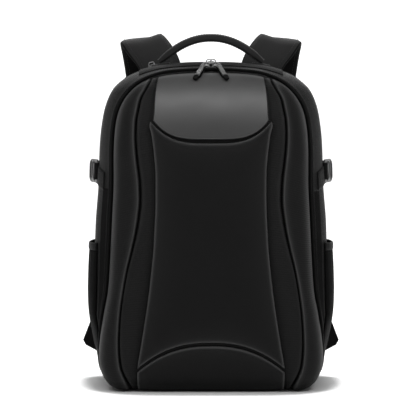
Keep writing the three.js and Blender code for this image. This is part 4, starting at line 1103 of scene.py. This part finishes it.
# Handle
HANDLE_Y, HANDLE_HALF, HANDLE_TOP = 8.0, 72.0, 499.8
HANDLE_LINE = [[1.04, 0.04], [0.96, 0.17], [0.8, 0.42], [0.62, 0.66], [0.42, 0.85], [0.2, 0.97], [0, 1]]
FOOT_REACH, FOOT_SPAN = 15, (59.0, 85.0)


def carry_handle():
    foot_z = body_point(top_station(HANDLE_HALF), (HANDLE_Y - RIM_Y) / BODY_DEPTH, 1.85)[2] + 2.7
    half = [(-x * HANDLE_HALF, HANDLE_Y, foot_z + z * (HANDLE_TOP - foot_z)) for x, z in HANDLE_LINE]
    path = path_through(half + [(-x, y, z) for x, y, z in half[-2::-1]], 150)
    share = np.linspace(0, 1, 150)
    ends = np.clip(np.minimum(share, 1 - share) / 0.1, 0, 1)
    sweep("carry_handle_skin", path, (0, 1, 0), lerp(21.0, 24.5, ends), lerp(7.4, 11.2, ends), strap_cloth,
          shape=section("box", 36, 3.6), slot="webbing", replaces=["carry_handle"])
    _, wide, thick = frames(path, (0, 1, 0))
    for side in (-1, 1):
        line = path + wide * side * lerp(8.2, 9.4, ends)[:, None]
        for face in (-1, 1):
            row = line + thick * face * lerp(3.55, 5.45, ends)[:, None]
            stitches(f"handle_seam_{side + 1}{face + 1}", row[3:-3], (0, 0, 1), "webbing")
    depths = [(HANDLE_Y + reach - RIM_Y) / BODY_DEPTH for reach in (-FOOT_REACH, FOOT_REACH)]
    for label, side in SIDES:
        stations = sorted(side * float(top_station(x)) for x in FOOT_SPAN)
        body_patch("handle_foot_skin_" + label, stations, depths, 1.8, strap_cloth, top=1.9, steps=(30, 24),
                   slot="black_cloth", replaces=["handle_foot_" + label], sharp=0)
        box_a, box_d = np.array([[0.08, 0.08], [0.92, 0.08], [0.92, 0.92], [0.08, 0.92], [0.08, 0.08]]).T
        corners = body_point(lerp(*stations, box_a), lerp(*depths, box_d), 3.9)
        stitches("handle_foot_seam_" + label, resample(corners, 80), (0, 0, 1), "black_cloth")


carry_handle()

# Back
BACK_FACE = BACK_Y + CLEARANCE + 6.0
PAD_FACE = BACK_FACE + CLEARANCE


def back_panel():
    around = np.linspace(-LAST, LAST, 360, endpoint=False)
    rim = body_base(around, np.ones_like(around))
    centre = np.array([0, 0, BODY_HEIGHT * 0.5])
    shares = np.concatenate([np.linspace(0.02, 0.94, 24), [0.965, 0.985, 0.996, 1.0, 1.0]])
    lifts = np.concatenate([np.zeros(24), [-0.15, -0.6, -1.4, -2.4, -6.0]])
    grid = centre + (rim - centre) * shares[:, None, None]
    grid[..., 1] = BACK_FACE + lifts[:, None]
    verts = grid.reshape(-1, 3)
    faces = np.concatenate([grid_faces(*grid.shape[:2], ring=True), ring_cap(len(around))[:, ::-1]])
    make("back_panel_skin", verts, faces, black_cloth, flat_uvs(verts, faces), sharp=35, slot="black_cloth",
         replaces=["back_panel"], turn=False)
    around = np.linspace(-LAST, LAST, 420)
    path = body_base(around, np.ones_like(around))
    path[:, 1] = BACK_FACE - 3.0
    path[:, 2] = np.maximum(path[:, 2], 3.0)
    strip("back_binding", path, (0, 1, 0), 5.4, 4.2, shape=section("round", 14), ends=False)


back_panel()


def read_points(mesh):
    co = np.zeros(len(mesh.vertices) * 3, np.float32)
    mesh.vertices.foreach_get("co", co)
    return co


PAD_VOXEL, PUFF_PRESSURE, PUFF_FRAMES, PUFF_CAP = 0.0045, 4.0, 20, 0.004


def puff(o):
    """Voxel remesh and a short pressure simulation, with the move of each point capped."""
    bpy.ops.object.select_all(action="DESELECT")
    o.select_set(True)
    bpy.context.view_layer.objects.active = o
    o.data.remesh_voxel_size = PAD_VOXEL
    bpy.ops.object.voxel_remesh()
    start = read_points(o.data)
    cloth_mod = o.modifiers.new("cloth", "CLOTH")
    cloth_mod.settings.use_pressure = True
    cloth_mod.settings.uniform_pressure_force = PUFF_PRESSURE
    cloth_mod.settings.effector_weights.gravity = 0
    cloth_mod.settings.quality = 5
    cloth_mod.point_cache.frame_end = PUFF_FRAMES
    for number in range(1, PUFF_FRAMES + 1):
        bpy.context.scene.frame_set(number)
    result = o.evaluated_get(bpy.context.evaluated_depsgraph_get())
    move = (read_points(result.data) - start).reshape(-1, 3)
    size = np.linalg.norm(move, axis=1, keepdims=True)
    move *= np.minimum(1, PUFF_CAP / np.maximum(size, 1e-9))
    o.modifiers.remove(cloth_mod)
    bpy.context.scene.frame_set(1)
    o.data.vertices.foreach_set("co", start + move.reshape(-1))
    o.data.update()
    subdivide = o.modifiers.new("subdivide", "SUBSURF")
    subdivide.levels = subdivide.render_levels = 1
    bpy.ops.object.modifier_apply(modifier="subdivide")
    o.data.polygons.foreach_set("use_smooth", np.ones(len(o.data.polygons), bool))


# Share of a pad's outline and height over its seat, ring by ring.
PAD_RINGS = np.array([
    [0.03, 9.0], [0.3, 9.0], [0.55, 9.0], [0.75, 8.8], [0.88, 8.2], [0.96, 6.6], [1.0, 4.4], [1.0, 1.8],
    [0.98, 0.6],
])
PAD_CORNER, PAD_INSET, PAD_TOP = 16, 3.0, 12.6


def back_pad(name, width, height, x, z, channels, node):
    """Padded panel with sewn channels and a bound edge."""
    outline = rounded(width - 2 * PAD_INSET, height - 2 * PAD_INSET, PAD_CORNER, 8)
    count = len(outline)
    grid = np.concatenate([outline * share for share in PAD_RINGS[:, 0]])
    verts = np.stack([grid[:, 0] + x, np.repeat(PAD_RINGS[:, 1], count) + PAD_FACE, grid[:, 1] + z], -1)
    pad = make(name, verts, tube_faces(len(PAD_RINGS), count), pad_mesh, sharp=0, slot="mesh_cloth",
               replaces=[node])
    puff(pad)
    co = read_points(pad.data).reshape(-1, 3) * 1000
    outer = np.clip((co[:, 1] - PAD_FACE - 2) / 6, 0, 1)
    pitch = width / channels
    channel = np.zeros(len(co))
    for line in np.arange(-width / 2 + pitch, width / 2 - pitch / 2, pitch):
        channel += 2.6 * bell(co[:, 0] - x, line, 2.4)
    inside = np.clip((height / 2 - PAD_CORNER - np.abs(co[:, 2] - z)) / 10, 0, 1)
    co[:, 1] -= channel * outer * inside
    co[:, 1] = np.clip(co[:, 1], PAD_FACE + 0.05, PAD_FACE + PAD_TOP)
    pad.data.vertices.foreach_set("co", (co / 1000).reshape(-1).astype(np.float32))
    pad.data.update()
    outline = rounded(width - 3.4, height - 3.4, 17, 12)
    rim = np.array([[px + x, PAD_FACE + 2.2, py + z] for px, py in outline])
    rim = resample(np.vstack([rim, rim[:1]]), 240)
    strip(name + "_binding", rim, (0, 1, 0), 3.6, 3.0, shape=section("round", 10), ends=False)


for label, side in SIDES:
    back_pad("back_pad_skin_" + label, 104.0, 206.0, side * 65.0, 299.0, 3, "back_pad_" + label)
back_pad("lumbar_pad_skin", 234.0, 96.0, 0.0, 135.0, 6, "lumbar_pad")

# Shoulder straps
# Shares of the way out, back and up, and of the width, from the upper seam down.
STRAP_LINE = np.array([
    [0.00, 0.020, 0.880, 0.94], [0.12, 0.025, 0.925, 0.97], [0.50, 0.15, 0.970, 1.00],
    [0.94, 0.37, 1.000, 1.00], [1.00, 0.64, 0.998, 1.00], [0.92, 0.89, 0.966, 1.00],
    [0.78, 0.98, 0.900, 1.00], [0.68, 1.00, 0.810, 1.00], [0.68, 1.00, 0.710, 0.98],
    [0.82, 0.97, 0.610, 0.94], [1.04, 0.89, 0.510, 0.88], [1.30, 0.78, 0.420, 0.80],
    [1.48, 0.64, 0.348, 0.62],
])
STRAP_X, STRAP_SWING, STRAP_TOP, STRAP_WIDTH = 70, 34, 494.0, 62.0
STRAP_REACH = (6.85, 62.0)
STRAP_POINTS, STRAP_SECTION = 180, 48
WEB_WIDTH, WEB_THICK = 25.0, 1.6
TAB_OUTLINE = [
    [-1.07, 1.00], [-0.15, 1.05], [0.50, 1.00], [1.00, 0.65], [0.82, 0.56], [-0.15, 0.42], [-1.07, 0.50],
]
TAB_REACH, TAB_HEIGHT, TAB_THICK = 190.0, 82.0, 3.0
LOCK_DROP = 23.55


def web_strip(name, path, across, thickness=WEB_THICK, **options):
    strip(name, path, across, WEB_WIDTH, thickness, shape=section("box", 16, 5.0), **options)


def shoulder_strap(label, side):
    """Padded strap with its lining, bindings, seams and webbing. Gives its lower end."""
    points = np.stack([side * (STRAP_X + STRAP_LINE[:, 0] * STRAP_SWING),
                       BACK_FACE + lerp(*STRAP_REACH, STRAP_LINE[:, 1]), STRAP_LINE[:, 2] * STRAP_TOP], -1)
    count = STRAP_POINTS
    path = path_through(points, count)
    share = np.linspace(0, 1, count)
    width = np.interp(share, np.linspace(0, 1, len(points)), STRAP_LINE[:, 3]) * STRAP_WIDTH
    tilt = 0.10 * np.exp(-((share - 0.3) / 0.16) ** 4)
    across = np.stack([np.ones(count), np.zeros(count), -side * tilt], -1)
    taper = np.clip(np.minimum(share / 0.06, (1 - share) / 0.05), 0, 1)
    thick_line = lerp(8.0, 12.6, np.sin(taper * math.pi / 2))
    shape = section("box", STRAP_SECTION, 3.2)
    strap = sweep("shoulder_strap_skin_" + label, path, across, width - 2.0, thick_line, strap_cloth,
                  shape=shape, slot="strap_cloth", replaces=["shoulder_strap_" + label])
    _, wide, thick = frames(path, across)
    outer = -1 if thick[count // 2][1] < 0 else 1
    strap.data.materials.append(pad_lining)
    under = np.where((shape[:, 1] + np.roll(shape[:, 1], -1)) * -outer > 0.9, 1, 0)
    index = np.zeros(len(strap.data.polygons), np.int32)
    index[:(count - 1) * STRAP_SECTION] = np.tile(under, count - 1)
    strap.data.polygons.foreach_set("material_index", index)
    for edge_side in (-1, 1):
        line = path + wide * edge_side * (width / 2 - 1.6)[:, None]
        strip(f"strap_binding_{label}_{edge_side + 1}", line[2:-2], thick[2:-2], 5.2, 3.4, black_cloth,
              shape=section("round", 12))
        line = path + wide * edge_side * (width / 2 - 6.5)[:, None]
        for face in (-1, 1):
            row = line + thick * face * (thick_line / 2 - 0.35)[:, None]
            stitches(f"strap_seam_{label}_{edge_side + 1}{face + 1}", row[4:-4], thick.mean(0), "strap_cloth")
    run = slice(int(count * 0.34), count - 3)
    line = (path + thick * outer * (thick_line / 2 + 0.6)[:, None])[run]
    web_strip("strap_webbing_" + label, line, wide[run])
    for edge_side in (-1, 1):
        row = line + wide[run] * edge_side * 10.8 + thick[run] * outer * 0.85
        stitches(f"strap_webbing_seam_{label}_{edge_side + 1}", row, thick[run].mean(0), "webbing")
    return points[-1]


def strap_lock(label, side, end):
    """Ladder lock at the end of a strap, and the webbing that runs through it to the tab."""
    tab_x = (TAB_REACH + BODY_HALF) / 2 + CLEARANCE
    target = np.array([side * tab_x, PAD_FACE + TAB_THICK + 0.7 + 1.92, TAB_HEIGHT * 0.72])
    down = unit(target - end)
    flat = unit(np.array([1.0, 0, 0]) - down * down[0])
    outward = np.cross(flat, down)
    outward = outward if outward[1] > 0 else -outward
    middle = end + down * LOCK_DROP

    def spots(*steps):
        """Points given as steps down, outward and across, from the middle of the lock."""
        return [middle + down * step + outward * out + flat * (shift[0] if shift else 0.0)
                for step, out, *shift in steps]

    slots = [rounded(4.6, 27, 1.5, 4, x=x)[::-1] for x in (-8.5, 8.5)]
    place = placed(middle, down, outward)
    lock = solid("ladder_lock_skin_" + label, [rounded(34, 34, 5), *slots], 5.0, place, black_plastic,
                 bevel=1.1, replaces=["ladder_lock_" + label])
    bars = [sweep(f"lock_bar_{label}_{k}", path_through(spots((x, 1.8, -13.5), (x, 2.4), (x, 1.8, 13.5)), 12),
                  down, 3.0, 1.8, black_plastic) for k, x in enumerate((-3.0, 3.0, 15.2))]
    merge(lock, *bars)
    loop = spots((1.0 - LOCK_DROP, 1.0), (8.0 - LOCK_DROP, 1.5), (-9.0, 0.2), (-9.5, -3.4),
                 (6.0 - LOCK_DROP, -3.0), (1.0 - LOCK_DROP, -2.0))
    strip("lock_loop_" + label, path_through(loop, 40), flat, 24.0, 1.5, shape=section("box", 14, 5.0))
    web = spots((2.0, 3.9), (7.0, 3.4), (9.0, -1.0), (17.0, -3.6))
    web += [lerp(middle + down * 9.0, target, 0.5) + [0, 3.0, 0], target + [-side * 7.0, -2.0, -4.0]]
    web_strip("lower_web_skin_" + label, path_through(web, 60), flat, replaces=["lower_web_" + label])
    tail = spots((2.0, 4.2), (14.0, 5.6), (34.0, 5.0), (56.0, 1.5))
    web_strip("web_tail_" + label, path_through(tail, 40), flat, thickness=1.5)


def lower_tab(label, side):
    corners = [[side * lerp(BODY_HALF, TAB_REACH, x), z * TAB_HEIGHT] for x, z in TAB_OUTLINE]
    corners = np.array(corners[::side])
    place = np.eye(4)
    place[:3, :3] = np.array([[1, 0, 0], [0, 0, -1], [0, 1, 0]])
    place[:3, 3] = [0, PAD_FACE + TAB_THICK / 2, 0]
    solid("lower_tab_skin_" + label, [corners], TAB_THICK, place, black_cloth, bevel=0.7,
          replaces=["lower_tab_" + label])
    inner = corners.mean(0) + (corners - corners.mean(0)) * [0.82, 0.84]
    row = np.stack([inner[:, 0], np.full(len(inner), PAD_FACE + TAB_THICK + 0.05), inner[:, 1]], -1)
    stitches("lower_tab_seam_" + label, resample(np.vstack([row, row[:1]]), 100), (0, 1, 0), "black_cloth")


for label, side in SIDES:
    strap_lock(label, side, shoulder_strap(label, side))
    lower_tab(label, side)

# Sides
HOOK_Z, WEB_LOW_Z = 308.0, 282.0
HOOK_LEAN = math.radians(24)
HOOK_LIFT = 6.6
POCKET_DEPTH = (0.25, 0.88)
POCKET_TOP, POCKET_FOOT, POCKET_STAND = 194.0, 34.0, 0.6
HEM_SPAN = (205.35, 194.35)
# For each web its depths, and where its sewn box starts and how far it reaches.
SIDE_WEBS = (("front", (0.19, 0.437), 0.22, 0.07), ("rear", (0.583, 0.78), 0.75, -0.07))


def side_stations(side, high, low):
    return sorted(side * float(body_station(z)) for z in (high, low))


def side_webs(label, side):
    """Front and rear webbing, sewn down at the seams and held off the cloth by the hook."""
    around = side_stations(side, HOOK_Z, WEB_LOW_Z)
    rise = float(body_station(HOOK_Z) - body_station(295.0))

    def climb(d):
        return side * rise * np.minimum(1, (d - 0.19) / 0.31)

    def stand_off(d):
        """Lift of the web: taut from the hook's raised rear end to the rear seam."""
        return 0.35 + np.where(d < 0.5, 2.6 * np.clip((d - 0.38) / 0.05, 0, 1),
                               9.6 * np.clip((0.76 - d) / 0.165, 0, 1))

    for end, depths, sewn, reach in SIDE_WEBS:
        a, d = np.meshgrid(np.linspace(*around, 18), np.linspace(*depths, 40), indexing="ij")
        a = a + climb(d)
        crown = np.sin(math.pi * np.linspace(0, 1, 18))[:, None] ** 0.25
        plate(f"side_web_{end}_skin_{label}", body_point(a, d, stand_off(d) + 0.8 + 0.8 * crown),
              body_point(a, d, stand_off(d)), webbing, slot="webbing",
              replaces=[f"side_web_{end}_{label}"], sharp=0)
        box_a, box_d = np.array([[0.12, 0], [0.88, 0], [0.88, 1], [0.12, 1], [0.12, 0]]).T
        box_d = np.clip(box_d * reach + sewn, depths[0] + 0.01, depths[1] - 0.01)
        row = body_point(lerp(*around, box_a) + climb(box_d), box_d, stand_off(box_d) + 1.7)
        stitches(f"side_web_{end}_seam_{label}", resample(row, 60), (side, 0, 0), "webbing")


def side_hook(label, side):
    """Metal frame with two slanted slots and three bars, leaning out at its rear end, and its cloth loop."""
    station = side * float(body_station(HOOK_Z))
    normal, back = body_normal(station, 0.5), np.array([0, 1.0, 0])
    along = back * math.cos(HOOK_LEAN) + normal * math.sin(HOOK_LEAN)
    facing = normal * math.cos(HOOK_LEAN) - back * math.sin(HOOK_LEAN)
    place = placed(body_point(station, 0.5, HOOK_LIFT), along, facing)
    slots = []
    for x, width, height, slant in ((-7.2, 5.6, 25, 0.05), (6.0, 6.4, 20, 0.16)):
        slot = rounded(width, height, 2.2, 4)
        slots.append(np.stack([x + slot[:, 0] + slant * slot[:, 1] * side, slot[:, 1]], -1)[::-1])
    hook = solid("side_hook_skin_" + label, [rounded(27, 34, 5), *slots], 2.6, place, hook_metal, bevel=0.8,
                 replaces=["side_hook_" + label])
    bars = []
    for k, (x, bend, out) in enumerate(((-11.6, 0.0, 1.8), (-0.4, 2.2, 2.8), (11.6, 0.0, 1.8))):
        line = [shifted(place, x=x + bend * side * math.sin(y / 16 * math.pi / 2), y=y, z=z)[:3, 3]
                for y, z in ((-15, 0.4), (-11, out), (-5, out + 0.3), (5, out + 0.3), (11, out), (15, 0.4))]
        bars.append(sweep(f"hook_bar_{label}_{k}", path_through(line, 30), place[:3, 0], 3.0, 2.0, hook_metal,
                          shape=section("box", 14, 3.0)))
    merge(hook, *bars)
    turn = np.linspace(0, 2 * math.pi, 40)
    loop = at(place, np.stack([-11.4 + np.cos(turn) * 3.2, np.zeros(40), np.sin(turn) * 3.6 + 0.7], -1))
    strip("hook_loop_" + label, loop, place[:3, 1], 24.0, 1.5, black_cloth, shape=section("box", 20, 4.0),
          ends=False)


def pocket_grid(around, rows):
    """Stations and depths over the pocket's width, with the share across it and its fullness there."""
    t = (1 - np.cos(math.pi * np.linspace(0, 1, 64))) / 2
    a, d = np.meshgrid(lerp(*around, np.linspace(0, 1, rows)), lerp(*POCKET_DEPTH, t), indexing="ij")
    across = np.clip((d - POCKET_DEPTH[0]) / (POCKET_DEPTH[1] - POCKET_DEPTH[0]), 0, 1)
    return a, d, across, np.maximum(np.sin(math.pi * across), 0) ** 0.45


def side_pocket(label, side):
    """Stretch pocket with its pleats, its hem and its two side seams."""
    a, d, across, fullness = pocket_grid(side_stations(side, POCKET_TOP, POCKET_FOOT), 90)
    share = np.clip((body_base(a, d)[..., 2] - POCKET_FOOT) / (POCKET_TOP - POCKET_FOOT), 0, 1)
    pleats = 0.45 * np.sin(across * math.pi * 2 * 9) * np.clip((share - 0.55) / 0.45, 0, 1) * fullness
    height = POCKET_STAND + 9.4 * smooth_at(POCKET_FULLNESS, share) * fullness + pleats
    outer = body_point(a, d, height + 1.2)
    pocket = plate("side_pocket_skin_" + label, outer, body_point(a, d, height), mesh_cloth,
                   slot="mesh_cloth", replaces=["side_pocket_" + label], sharp=0)

    a, d, across, fullness = pocket_grid(side_stations(side, *HEM_SPAN), 14)
    height = POCKET_STAND + 8.9 * 0.72 * fullness
    crown = np.sqrt(np.clip(1 - (2 * np.linspace(0, 1, 14) - 1) ** 4, 0, 1))[:, None]
    gather = 0.18 * np.sin(across * math.pi * 2 * 26)
    hem = plate("pocket_hem_skin_" + label, body_point(a, d, height + 1.0 + 1.6 * crown + gather * crown),
                body_point(a, d, height + 0.6 - 0.6 * crown), webbing, slot="webbing",
                replaces=["pocket_hem_" + label], sharp=0)
    line = np.linspace(*side_stations(side, 204.0, 36.0), 120)
    for number, share in enumerate((0.02, 0.98)):
        row = body_point(line, lerp(*POCKET_DEPTH, share), 1.7)
        stitches(f"pocket_seam_{label}_{number}", row, (side, 0, 0), "mesh_cloth")


for label, side in SIDES:
    side_webs(label, side)
    side_hook(label, side)
    side_pocket(label, side)
